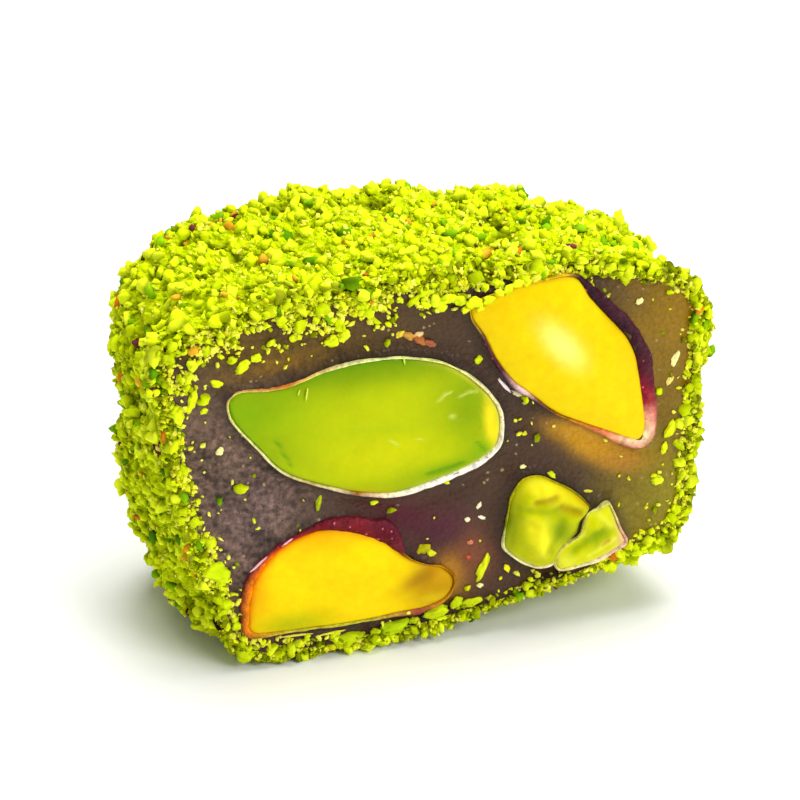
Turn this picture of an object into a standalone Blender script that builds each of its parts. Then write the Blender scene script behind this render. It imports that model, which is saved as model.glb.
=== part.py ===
"""Half of a block of pistachio Turkish delight, cut open to show the kernels set in its jelly.

The cut face looks towards -Y and the block stands on the plane z = 0, with the origin under
the middle of its box. The block is lofted from the outline of the cut to a plainer outline at
the back. A coat of ground pistachio wraps every side but the cut, and four kernels sit in
pockets of the jelly. Sizes are in millimetres, and become metres when a mesh is made.
"""

import math

import bmesh
import bpy
from mathutils import Vector, noise

MM = 0.001

# The block.
COAT = 1.25  # thickness of the crumb coat
GAP = 0.3  # clearance between pieces that touch
DEPTH = 14.2  # jelly, from the cut to the back, at its deepest
DEEPEST = 10.5  # across, where that is
DEPTH_LOSS_LEFT = 2.8  # how much shallower the left end is
DEPTH_LOSS_RIGHT = 4.8  # and the right end
WIDTH = 30.7
MIDDLE = Vector((15.5, 11.4))  # across and up, the middle of the cut and of the back
BACK_ROUND = 3.0  # radius of the edge round the back
BACK_TURNS = 3  # steps round it
CURL_DEPTH = 6.5  # how far in from the cut the underside has settled onto the table
CUTTER_REACH = 3.0  # how far cutters stand out in front of the cut
JELLY_STEPS = 6  # rings from the cut to the rounded edge, for the jelly and the coat's inside
JELLY_BACK_STEPS = 2  # rings from there to the middle of the back
COAT_STEPS = 12  # the same for the coat's outside
COAT_BACK_STEPS = 9

# Corners of the jelly's outline as (across, up, rounding, steps to the next corner), seen from
# the front and going anticlockwise from the left heel. The cut curls up to the right, where the
# knife dragged it off the table, and its top is gently crowned.
CUT_CORNERS = [
    (4.2, 1.25, 1.6, 5),
    (11.8, 1.25, 3.0, 8),
    (24.0, 3.4, 4.0, 5),
    (30.2, 6.1, 1.5, 10),
    (30.7, 20.9, 1.6, 6),
    (23.6, 22.9, 5.0, 10),
    (8.0, 22.9, 5.0, 7),
    (0.0, 21.0, 1.4, 7),
    (1.2, 11.6, 5.0, 8),
]
BACK_CORNERS = [
    (2.2, 1.25, 2.4, 5),
    (10.0, 1.25, 3.0, 8),
    (21.0, 1.25, 4.0, 5),
    (28.6, 1.25, 2.4, 10),
    (29.4, 20.2, 3.2, 6),
    (22.6, 22.5, 5.0, 10),
    (8.5, 22.8, 5.0, 7),
    (0.9, 20.3, 3.6, 7),
    (0.8, 11.0, 5.0, 8),
]

# Relief of the coat, as (height, width) of its lumps. All relief fades out towards the table.
LUMPS = [(0.55, 5.2), (0.35, 2.8)]
CALM_HEIGHT = 1.6

# Where more crumbs have packed onto the coat: the middle of each place as (across, depth, up),
# how far it reaches and how much thicker the coat is there.
THICKER = [
    (Vector((0.5, 11.5, 19.5)), 9.0, 1.3),  # the far top corner on the left
    (Vector((-1.0, 10.0, 9.0)), 9.0, 0.9),  # the left side, towards the back
    (Vector((29.5, 9.5, 21.0)), 8.0, 0.5),  # the far top corner on the right
    (Vector((31.0, 1.5, 5.5)), 5.0, 0.5),  # the heel on the right
]

# Kernels. across and up place the middle of the cut on the face, tilt turns the long axis,
# taper draws one tip to a point, run is how deep the kernel goes into the jelly, proud is how
# far its cut stands out, and dome is how much that cut swells.
KERNELS = {
    "kernel_centre": dict(
        across=11.2, up=14.9, length=16.9, height=8.5, tilt=-13.0, taper=0.30,
        run=4.4, proud=0.25, dome=0.0,
    ),
    "kernel_upper": dict(
        across=22.9, up=18.0, length=15.6, height=7.0, tilt=-55.0, taper=-0.15,
        run=4.6, proud=0.3, dome=0.6,
    ),
    "kernel_lower": dict(
        across=10.6, up=5.4, length=12.0, height=6.2, tilt=-4.0, taper=-0.22,
        run=4.2, proud=0.15, dome=0.3,
    ),
    "kernel_corner": dict(
        across=23.2, up=7.2, length=7.6, height=5.8, tilt=-18.0, taper=-0.12,
        run=3.6, proud=0.5, dome=0.7,
    ),
}
TOPPED = "kernel_upper"  # the top of the block took off this one's end
KERNEL_AROUND = 32
KERNEL_RUN_RINGS = 5
KERNEL_CUT_RINGS = 3

# The corner kernel has split: a crack crosses its cut, and the part beyond it sits lower.
CRACKED = "kernel_corner"
CRACK_ALONG = 1.3
CRACK_LEAN = math.radians(28.0)
CRACK_WIDTH = 0.55
CRACK_DEPTH = 0.9
CRACK_STEP = 0.55

# Finishes, as (colour, roughness).
FINISHES = {
    "jelly": ((0.16, 0.10, 0.055), 0.28),
    "crumb_coat": ((0.52, 0.66, 0.02), 0.85),
    "kernel_centre": ((0.50, 0.62, 0.01), 0.35),
    "kernel_upper": ((0.93, 0.74, 0.01), 0.35),
    "kernel_lower": ((0.93, 0.72, 0.01), 0.35),
    "kernel_corner": ((0.58, 0.60, 0.01), 0.40),
}


def clear_scene():
    """Removes every object, so that only this model is left."""
    for obj in list(bpy.data.objects):
        bpy.data.objects.remove(obj)


def finish(name):
    """The Principled material of one piece."""
    colour, roughness = FINISHES[name]
    made = bpy.data.materials.new(name)
    made.use_nodes = True
    shader = made.node_tree.nodes["Principled BSDF"]
    shader.inputs["Base Color"].default_value = (*colour, 1.0)
    shader.inputs["Roughness"].default_value = roughness
    shader.inputs["Metallic"].default_value = 0.0
    return made


def make_object(name, rings):
    """A closed mesh over rings of points, the first and the last of them a single point."""
    mesh = bmesh.new()
    grid = [[mesh.verts.new(point * MM) for point in ring] for ring in rings]
    for near, far in zip(grid, grid[1:]):
        for i in range(max(len(near), len(far))):
            corners = [
                near[i % len(near)],
                near[(i + 1) % len(near)],
                far[(i + 1) % len(far)],
                far[i % len(far)],
            ]
            mesh.faces.new(list(dict.fromkeys(corners)))
    bmesh.ops.recalc_face_normals(mesh, faces=mesh.faces)
    data = bpy.data.meshes.new(name)
    mesh.to_mesh(data)
    mesh.free()
    data.shade_smooth()
    data.set_sharp_from_angle(angle=math.radians(40.0))
    obj = bpy.data.objects.new(name, data)
    bpy.context.scene.collection.objects.link(obj)
    return obj


def make_piece(name, rings):
    """A piece of the food, with its finish."""
    piece = make_object(name, rings)
    piece.data.materials.append(finish(name))
    return piece


def cut(piece, operation, name, rings):
    """Cuts a piece by the shape over these rings, and keeps that shape as a hidden helper.

    DIFFERENCE takes the shape away, and INTERSECT keeps only what lies inside it.
    """
    helper = make_object(name, rings)
    helper.hide_render = True
    helper.display_type = "WIRE"
    modifier = piece.modifiers.new(name, "BOOLEAN")
    modifier.operation = operation
    modifier.solver = "EXACT"
    modifier.object = helper


def smooth_step(value):
    """0 below 0, 1 above 1, and an even curve between."""
    value = min(1.0, max(0.0, value))
    return value * value * (3.0 - 2.0 * value)


def corner_bend(before, corner, after, reach, share):
    """A point on the parabola that rounds a corner, from one side to the other."""
    start = corner + (before - corner).normalized() * reach
    end = corner + (after - corner).normalized() * reach
    return start * (1 - share) ** 2 + corner * (2 * share * (1 - share)) + end * share**2


def outline_of(corners):
    """The points round an outline, each of whose corners is rounded."""
    places = [Vector(corner[:2]) for corner in corners]
    count = len(corners)
    points = []
    for i, (_, _, reach, steps) in enumerate(corners):
        here, there = places[i], places[(i + 1) % count]
        before, after = places[i - 1], places[(i + 2) % count]
        next_reach = corners[(i + 1) % count][2]
        length = (there - here).length
        for step in range(steps):
            along = length * step / steps
            left = length - along
            if along < reach:
                share = 0.5 + 0.5 * along / reach
                points.append(corner_bend(before, here, there, reach, share))
            elif left < next_reach:
                share = 0.5 - 0.5 * left / next_reach
                points.append(corner_bend(here, there, after, next_reach, share))
            else:
                points.append(here.lerp(there, along / length))
    return points


def grown(outline, amount):
    """An anticlockwise outline moved outwards by this amount."""
    moved = []
    for i, point in enumerate(outline):
        along = (outline[(i + 1) % len(outline)] - outline[i - 1]).normalized()
        moved.append(point + Vector((along.y, -along.x)) * amount)
    return moved


def depth_at(across):
    """How deep the jelly goes here: most in the middle, less at each end."""
    if across > DEEPEST:
        return DEPTH - DEPTH_LOSS_RIGHT * ((across - DEEPEST) / (WIDTH - DEEPEST)) ** 2
    return DEPTH - DEPTH_LOSS_LEFT * ((DEEPEST - across) / DEEPEST) ** 2


def side_point(front, back, depth):
    """The point at this depth on the line from the cut's outline to the back's."""
    flat = front.lerp(back, smooth_step(depth / CURL_DEPTH))
    return Vector((flat.x, depth, flat.y))


def towards_middle(point, inset, depth):
    """The point moved in towards the middle of the back, and put at this depth."""
    flat = Vector((point.x, point.z))
    flat += (MIDDLE - flat).normalized() * inset
    return Vector((flat.x, depth, flat.y))


def block_rings(grow, side_steps, back_steps, reach=0.0):
    """Rings over the block grown by this much, from its cut to the middle of its back.

    reach carries the cut that far out in front, for a cutter.
    """
    front = grown(outline_of(CUT_CORNERS), grow)
    back = grown(outline_of(BACK_CORNERS), grow)
    wall_end = [depth_at(point.x) + grow - BACK_ROUND for point in front]
    rings = [[Vector((MIDDLE.x, -reach, MIDDLE.y))]]
    if reach:
        rings.append([Vector((point.x, -reach, point.y)) for point in front])
    for step in range(side_steps + 1):
        depths = [end * step / side_steps for end in wall_end]
        rings.append([side_point(*each) for each in zip(front, back, depths)])
    edge = rings[-1]
    for step in range(1, BACK_TURNS + 1):
        turn = 0.5 * math.pi * step / BACK_TURNS
        inset = BACK_ROUND * (1.0 - math.cos(turn))
        fall = BACK_ROUND * math.sin(turn)
        rings.append([towards_middle(point, inset, point.y + fall) for point in edge])
    edge = rings[-1]
    for step in range(1, back_steps + 1):
        share = step / back_steps
        ring = []
        for point in edge:
            across, up = Vector((point.x, point.z)).lerp(MIDDLE, share)
            ring.append(Vector((across, depth_at(across) + grow, up)))
        rings.append(ring)
    rings[-1] = rings[-1][:1]
    return rings


def relief(point):
    """How far the coat stands out at a point, with its lumps and where it is thicker."""
    height = sum(high * noise.noise(point / wide) for high, wide in LUMPS)
    for middle, reach, more in THICKER:
        height += more * smooth_step(1.0 - (point - middle).length / reach)
    return height * smooth_step(point.z / CALM_HEIGHT)


def lumpy(rings):
    """The rings pushed in and out by the coat's relief, but flat at the cut and the table."""
    centre = Vector((MIDDLE.x, DEPTH / 2.0, MIDDLE.y))
    moved = []
    for ring in rings:
        line = []
        for point in ring:
            place = point + (point - centre).normalized() * relief(point)
            place.y = max(place.y, 0.0)
            place.z = max(place.z, 0.0)
            line.append(place)
        moved.append(line)
    return moved


def crack_at(name, along, rise):
    """How far the split sinks the cut of a kernel here."""
    if name != CRACKED:
        return 0.0
    off = (along - CRACK_ALONG) * math.cos(CRACK_LEAN) - rise * math.sin(CRACK_LEAN)
    return CRACK_DEPTH * math.exp(-((off / CRACK_WIDTH) ** 2)) + CRACK_STEP * smooth_step(off)


def kernel_point(name, share, angle, depth, grow=0.0):
    """A point of a kernel at this share of the way from the middle of its cut to the rim."""
    kernel = KERNELS[name]
    along = (kernel["length"] / 2.0 + grow) * math.cos(angle) * share
    belly = 1.0 + kernel["taper"] * math.cos(angle)
    rise = (kernel["height"] / 2.0 * belly + grow) * math.sin(angle) * share
    turn = math.radians(kernel["tilt"])
    across = kernel["across"] + along * math.cos(turn) - rise * math.sin(turn)
    up = kernel["up"] + along * math.sin(turn) + rise * math.cos(turn)
    if depth < 0.0 and grow == 0.0:
        depth += crack_at(name, along, rise) * (1.0 - share**4)
    return Vector((across, depth, up))


def kernel_angles():
    """The directions of the points round a kernel's rim."""
    return [2.0 * math.pi * i / KERNEL_AROUND for i in range(KERNEL_AROUND)]


def run_rings(name, front, grow=0.0):
    """Rings over the half of a kernel that runs into the jelly, from its rim to its far end."""
    deepest = KERNELS[name]["run"] + grow
    rings = []
    for step in range(1, KERNEL_RUN_RINGS):
        swing = 0.5 * math.pi * step / KERNEL_RUN_RINGS
        depth = front + (deepest - front) * math.sin(swing)
        share = math.cos(swing)
        rings.append([kernel_point(name, share, a, depth, grow) for a in kernel_angles()])
    rings.append([kernel_point(name, 0.0, 0.0, deepest, grow)])
    return rings


def kernel_rings(name):
    """Rings over a kernel, from the middle of its cut to its far end."""
    proud, dome = KERNELS[name]["proud"], KERNELS[name]["dome"]
    rings = [[kernel_point(name, 0.0, 0.0, -proud - dome)]]
    for step in range(1, KERNEL_CUT_RINGS + 1):
        share = step / KERNEL_CUT_RINGS
        depth = -proud - dome * (1.0 - share * share)
        rings.append([kernel_point(name, share, a, depth) for a in kernel_angles()])
    return rings + run_rings(name, -proud)


def pocket_rings(name):
    """Rings over the cutter of a kernel's pocket."""
    rings = [[kernel_point(name, 0.0, 0.0, -CUTTER_REACH, GAP)]]
    for depth in (-CUTTER_REACH, 0.0):
        rings.append([kernel_point(name, 1.0, a, depth, GAP) for a in kernel_angles()])
    return rings + run_rings(name, 0.0, GAP)


def make_jelly():
    """The translucent jelly, with a pocket for each kernel."""
    jelly = make_piece("jelly", block_rings(0.0, JELLY_STEPS, JELLY_BACK_STEPS))
    for name in KERNELS:
        cut(jelly, "DIFFERENCE", "pocket_" + name, pocket_rings(name))


def make_coat():
    """The coat of ground pistachio, open at the cut."""
    coat = make_piece("crumb_coat", lumpy(block_rings(COAT, COAT_STEPS, COAT_BACK_STEPS)))
    inside = block_rings(GAP, JELLY_STEPS, JELLY_BACK_STEPS, CUTTER_REACH)
    cut(coat, "DIFFERENCE", "coat_inside", inside)


def make_kernels():
    """The four kernels, each cut where the knife passed."""
    for name in KERNELS:
        kernel = make_piece(name, kernel_rings(name))
        if name == TOPPED:
            whole = block_rings(0.0, JELLY_STEPS, JELLY_BACK_STEPS, CUTTER_REACH)
            cut(kernel, "INTERSECT", "block_whole", whole)


def centre_on_table():
    """Moves everything so that the origin lies under the middle of the box round all of it."""
    shown = [obj for obj in bpy.data.objects if not obj.hide_render]
    points = [vertex.co for obj in shown for vertex in obj.data.vertices]
    middle_x = (min(p.x for p in points) + max(p.x for p in points)) / 2.0
    middle_y = (min(p.y for p in points) + max(p.y for p in points)) / 2.0
    for obj in bpy.data.objects:
        obj.location = (-middle_x, -middle_y, 0.0)


def main():
    """Builds the half block."""
    clear_scene()
    make_jelly()
    make_kernels()
    make_coat()
    centre_on_table()


main()
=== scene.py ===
"""The looks of a half block of pistachio Turkish delight, cut open, built over its solids.

The cut face looks towards -Y. Places on it are given in millimetres as across, from the left
end of the jelly, and up, from the table. The coat is a core with the relief of packed crumbs,
and loose crumbs of several kinds lie on it. The jelly is one mesh whose cut carries the marks of
the knife, and four kernels with their skins are set in it.
"""

import logging
import math
from dataclasses import dataclass, field
from enum import Enum
from typing import Sequence

import bmesh
import bpy
import numpy as np
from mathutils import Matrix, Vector, geometry, noise
from mathutils.bvhtree import BVHTree


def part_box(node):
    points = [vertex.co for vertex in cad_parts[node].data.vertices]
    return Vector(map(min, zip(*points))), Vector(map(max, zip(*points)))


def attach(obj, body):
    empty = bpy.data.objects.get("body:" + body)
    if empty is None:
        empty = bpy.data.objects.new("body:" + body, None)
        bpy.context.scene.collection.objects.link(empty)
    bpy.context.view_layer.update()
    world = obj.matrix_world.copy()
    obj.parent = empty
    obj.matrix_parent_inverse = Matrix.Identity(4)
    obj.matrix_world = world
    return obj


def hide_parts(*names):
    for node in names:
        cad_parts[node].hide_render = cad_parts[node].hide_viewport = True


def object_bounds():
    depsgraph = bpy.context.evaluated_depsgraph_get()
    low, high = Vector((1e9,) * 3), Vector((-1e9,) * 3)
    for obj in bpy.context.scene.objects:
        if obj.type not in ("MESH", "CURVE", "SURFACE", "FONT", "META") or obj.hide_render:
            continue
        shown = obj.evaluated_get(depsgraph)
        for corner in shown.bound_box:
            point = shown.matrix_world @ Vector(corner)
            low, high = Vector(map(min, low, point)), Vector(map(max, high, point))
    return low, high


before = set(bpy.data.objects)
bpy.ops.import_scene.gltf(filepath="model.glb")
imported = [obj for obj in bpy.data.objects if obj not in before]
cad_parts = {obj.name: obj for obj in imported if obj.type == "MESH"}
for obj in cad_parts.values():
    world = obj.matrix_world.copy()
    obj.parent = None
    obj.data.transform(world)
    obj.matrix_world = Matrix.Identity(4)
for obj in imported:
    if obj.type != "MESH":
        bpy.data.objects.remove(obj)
cad_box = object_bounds()

MM = 0.001
BAKE_MAP = "OFBake"  # the map that the looks are baked through on export
ROOT = "root"
FULL_TURN = 2.0 * math.pi
LOG = logging.getLogger("turkish_delight")
COAT_SEED, CUT_SEED, SHAPE_SEED, SEAM_SEED = 100, 200, 300, 400  # for the first kind of crumb

Points = np.ndarray
Piece = bpy.types.Object
Material = bpy.types.Material
Tree = bpy.types.NodeTree
Colour = tuple[float, float, float, float]  # as a shader takes it
Shade = tuple[int, int, int]  # red, green and blue, each from 0 to 255


# -------- numbers and shapes


def tint(shade: Shade) -> Colour:
    """The linear colour, as a shader takes it, of a shade."""
    shares = [value / 255.0 for value in shade]
    linear = [s / 12.92 if s <= 0.04045 else ((s + 0.055) / 1.055) ** 2.4 for s in shares]
    return (*linear, 1.0)


def smooth_step(low: float, high: float, values: Points) -> Points:
    """0 under low, 1 over high, and an even curve between.

    Args:
        low: Where the rise starts.
        high: Where it ends.
        values: The numbers to read the curve at.

    Returns:
        The curve's height at each number.
    """
    share = np.clip((np.asarray(values) - low) / (high - low), 0.0, 1.0)
    return share * share * (3.0 - 2.0 * share)


def blend(first: Points, second: Points, share: Points) -> Points:
    """The first values where the share is 0, the second where it is 1, and mixes between."""
    return first * (1.0 - share) + second * share


def in_space(flat: Points) -> Points:
    """Places on the cut face as points in space, where noise can be read."""
    return np.column_stack([flat, np.zeros(len(flat))])


def bearings(away: Points) -> Points:
    """The direction of each step on the cut face, in radians anticlockwise from the right."""
    return np.arctan2(away[:, 1], away[:, 0])


def noise_at(points: Points, width: float, seed: int = 0) -> Points:
    """Smooth noise at each point.

    Args:
        points: Places, one a row.
        width: How wide its lumps are, in the points' own unit.
        seed: Picks another part of the same noise.

    Returns:
        A number from about -1 to 1 for each point.
    """
    shift = Vector((17.3, 5.1, -9.7)) * seed
    return np.array([noise.noise(Vector(point) / width + shift) for point in points])


def pebbles_at(points: Points, width: float, seed: int = 0) -> Points:
    """The height of packed round pebbles at each point.

    Args:
        points: Places, one a row.
        width: About how wide a pebble is.
        seed: Picks another packing.

    Returns:
        0 in the gaps between the pebbles and up to 1 on top of them.
    """
    shift = Vector((3.7, -11.9, 8.3)) * seed
    nearest = [noise.voronoi(Vector(point) / width + shift)[0][0] for point in points]
    return 1.0 - np.clip(np.array(nearest), 0.0, 1.0) ** 2


def closed_curve(corners: Sequence[tuple[float, float]], steps: int) -> Points:
    """A smooth closed curve through some corners.

    Args:
        corners: The corners in order.
        steps: How many points run from each corner to the next.

    Returns:
        The curve's points, one a row.
    """
    places = np.array(corners, float)
    before, after = np.roll(places, 1, 0), np.roll(places, -1, 0)
    beyond = np.roll(places, -2, 0)
    curve = []
    for share in np.arange(steps) / steps:
        curve.append(
            0.5
            * (
                2.0 * places
                + (after - before) * share
                + (2.0 * before - 5.0 * places + 4.0 * after - beyond) * share**2
                + (3.0 * places - before - 3.0 * after + beyond) * share**3
            )
        )
    return np.stack(curve, 1).reshape(-1, 2)


def along_rows(rows: Points, count: int) -> Points:
    """Points spaced evenly along a line.

    Args:
        rows: The line's points, one a row.
        count: How many points to make.

    Returns:
        The evenly spaced points, with both ends of the line among them.
    """
    run = np.concatenate([[0.0], np.cumsum(np.linalg.norm(np.diff(rows, axis=0), axis=1))])
    stops = np.linspace(0.0, run[-1], count)
    return np.stack([np.interp(stops, run, rows[:, axis]) for axis in range(3)], 1)


def ring_faces(rings: int, around: int, start: int = 0) -> Points:
    """The four-sided faces of a tube of rings.

    Args:
        rings: How many rings there are.
        around: How many points each has.
        start: The index of the first point.

    Returns:
        One row of four point indices for each face.
    """
    ring, spoke = np.meshgrid(np.arange(rings - 1), np.arange(around), indexing="ij")
    after = (spoke + 1) % around
    near, far = start + ring * around, start + (ring + 1) * around
    return np.stack([near + spoke, near + after, far + after, far + spoke], -1).reshape(-1, 4)


def cap_faces(ring_start: int, around: int, tip: int, flip: bool) -> Points:
    """The triangles from a ring to one point.

    Args:
        ring_start: The index of the ring's first point.
        around: How many points the ring has.
        tip: The index of the point.
        flip: Whether the triangles run the other way round.

    Returns:
        One row of three point indices for each triangle.
    """
    spoke = np.arange(around)
    after = (spoke + 1) % around
    tips = np.full(around, tip)
    columns = [ring_start + after, ring_start + spoke, tips]
    if flip:
        columns.reverse()
    return np.stack(columns, -1)


def make_ball(detail: int) -> tuple[Points, Points]:
    """A ball that is 1 across.

    Args:
        detail: How finely it is divided.

    Returns:
        Its points, and one row of three point indices for each face.
    """
    made = bmesh.new()
    bmesh.ops.create_icosphere(made, subdivisions=detail, radius=0.5)
    points = np.array([vertex.co for vertex in made.verts])
    faces = np.array([[vertex.index for vertex in face.verts] for face in made.faces])
    made.free()
    return points, faces


def put_in_scene(name: str, data: bpy.types.ID) -> Piece:
    """A new object in the scene that shows a mesh, a lamp or a camera."""
    made = bpy.data.objects.new(name, data)
    bpy.context.scene.collection.objects.link(made)
    return made


def make_mesh(name: str, points: Points, faces: Sequence[Points], finish: Material) -> Piece:
    """A smooth-shaded mesh object in the scene, with its faces pointing out.

    Args:
        name: The piece's name.
        points: Its points in metres, one a row.
        faces: Arrays of faces, each with the same number of corners in every row.
        finish: Its material.

    Returns:
        The new object.
    """
    mesh = bpy.data.meshes.new(name)
    mesh.from_pydata(points.tolist(), [], [row for rows in faces for row in rows.tolist()])
    made = bmesh.new()
    made.from_mesh(mesh)
    bmesh.ops.recalc_face_normals(made, faces=made.faces)
    made.to_mesh(mesh)
    made.free()
    mesh.shade_smooth()
    mesh.materials.append(finish)
    return put_in_scene(name, mesh)


def paint(piece: Piece, name: str, values: Points) -> None:
    """Writes a number or a colour for each point of a piece, which its material reads.

    Args:
        piece: The mesh object.
        name: The attribute's name.
        values: One number, or one row of four, for each point.
    """
    colours = values.ndim == 2
    kind, key = ("FLOAT_COLOR", "color") if colours else ("FLOAT", "value")
    attribute = piece.data.attributes.new(name, kind, "POINT")
    attribute.data.foreach_set(key, values.astype(np.float32).ravel())


def lay_map(piece: Piece, places: Points) -> None:
    """Gives a piece a map that its painted looks can be baked through.

    Args:
        piece: The piece.
        places: Each face corner's place on the map, from 0 to 1 across and up.
    """
    layer = piece.data.uv_layers.new(name=BAKE_MAP)
    layer.uv.foreach_set("vector", np.ravel(places).astype(np.float32))


def read_all(items: bpy.types.bpy_prop_collection, key: str, width: int) -> Points:
    """Reads the same numbers from every point or face of a mesh.

    Args:
        items: The points or the faces.
        key: The name of the numbers.
        width: How many numbers each has.

    Returns:
        One row for each.
    """
    values = np.empty(len(items) * width, np.float32)
    items.foreach_get(key, values)
    return values.reshape(-1, width)


def read_corners(mesh: bpy.types.Mesh) -> tuple[Points, Points]:
    """The point at each face corner, and the first corner of each face."""
    points = np.empty(len(mesh.loops), np.int32)
    mesh.loops.foreach_get("vertex_index", points)
    return points, np.array([face.loop_start for face in mesh.polygons])


def push_out(piece: Piece, heights: Points) -> None:
    """Moves each point of a mesh along its normal.

    Args:
        piece: The mesh object.
        heights: How far each point moves, in metres.
    """
    mesh = piece.data
    places, normals = (read_all(mesh.vertices, key, 3) for key in ("co", "normal"))
    places = places + normals * heights[:, None]
    places[:, 2] = np.maximum(places[:, 2], 0.0)
    mesh.vertices.foreach_set("co", places.ravel().astype(np.float32))
    mesh.update()


# -------- shader nodes


class Graph:
    """Adds nodes to one tree and joins them up."""

    def __init__(self, tree: Tree) -> None:
        """Starts on a tree.

        Args:
            tree: The material's or the group's node tree.
        """
        self.tree = tree

    def add(self, kind: str, inputs: dict | None = None, **settings: object) -> bpy.types.Node:
        """Adds one node.

        Args:
            kind: The node's type.
            inputs: For each socket's name or place, a value or the output that feeds it.
            settings: The node's own properties.

        Returns:
            The new node.
        """
        node = self.tree.nodes.new(kind)
        for key, value in settings.items():
            setattr(node, key, value)
        self.feed(node, inputs or {})
        return node

    def feed(self, node: bpy.types.Node, inputs: dict) -> None:
        """Sets some of a node's sockets.

        Args:
            node: The node.
            inputs: For each socket's name or place, a value or the output that feeds it.
        """
        for key, value in inputs.items():
            if isinstance(value, bpy.types.NodeSocket):
                self.tree.links.new(value, node.inputs[key])
            else:
                node.inputs[key].default_value = value

    def group(self, tree: Tree, inputs: dict) -> object:
        """The outputs of one of the shared node groups, fed with these inputs."""
        return self.add("ShaderNodeGroup", inputs, node_tree=tree).outputs

    def mix(self, factor: object, first: object, second: object, blend: str = "MIX") -> object:
        """The output of a colour mix.

        Args:
            factor: How much of the second colour there is.
            first: The first colour, or the output that gives it.
            second: The second colour, or its output.
            blend: How the two are mixed.

        Returns:
            The mixed colour's output.
        """
        inputs = {0: factor, 6: first, 7: second}
        return self.add("ShaderNodeMix", inputs, data_type="RGBA", blend_type=blend).outputs[2]

    def maths(self, operation: str, first: object, second: object) -> object:
        """The output of one sum.

        Args:
            operation: What is done, such as ADD.
            first: A number, or the output that gives it.
            second: The other number.

        Returns:
            The result's output.
        """
        return self.add("ShaderNodeMath", {0: first, 1: second}, operation=operation).outputs[0]

    def spread(self, value: object, low: float, high: float, start: float, end: float) -> object:
        """The output that carries a number from one range to another.

        Args:
            value: The number's output.
            low: The lower end of its range.
            high: The upper end.
            start: What the lower end becomes.
            end: What the upper end becomes.

        Returns:
            The new number's output.
        """
        inputs = {0: value, 1: low, 2: high, 3: start, 4: end}
        return self.add("ShaderNodeMapRange", inputs).outputs[0]


def shader_group(name: str, inputs: dict[str, str], outputs: dict[str, str]) -> Tree:
    """A new, empty shader node group.

    Args:
        name: The group's name.
        inputs: The socket type of each named input.
        outputs: The socket type of each named output.

    Returns:
        The group's tree.
    """
    tree = bpy.data.node_groups.new(name, "ShaderNodeTree")
    for label, kind in inputs.items():
        tree.interface.new_socket(name=label, in_out="INPUT", socket_type=kind)
    for label, kind in outputs.items():
        tree.interface.new_socket(name=label, in_out="OUTPUT", socket_type=kind)
    return tree


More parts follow.
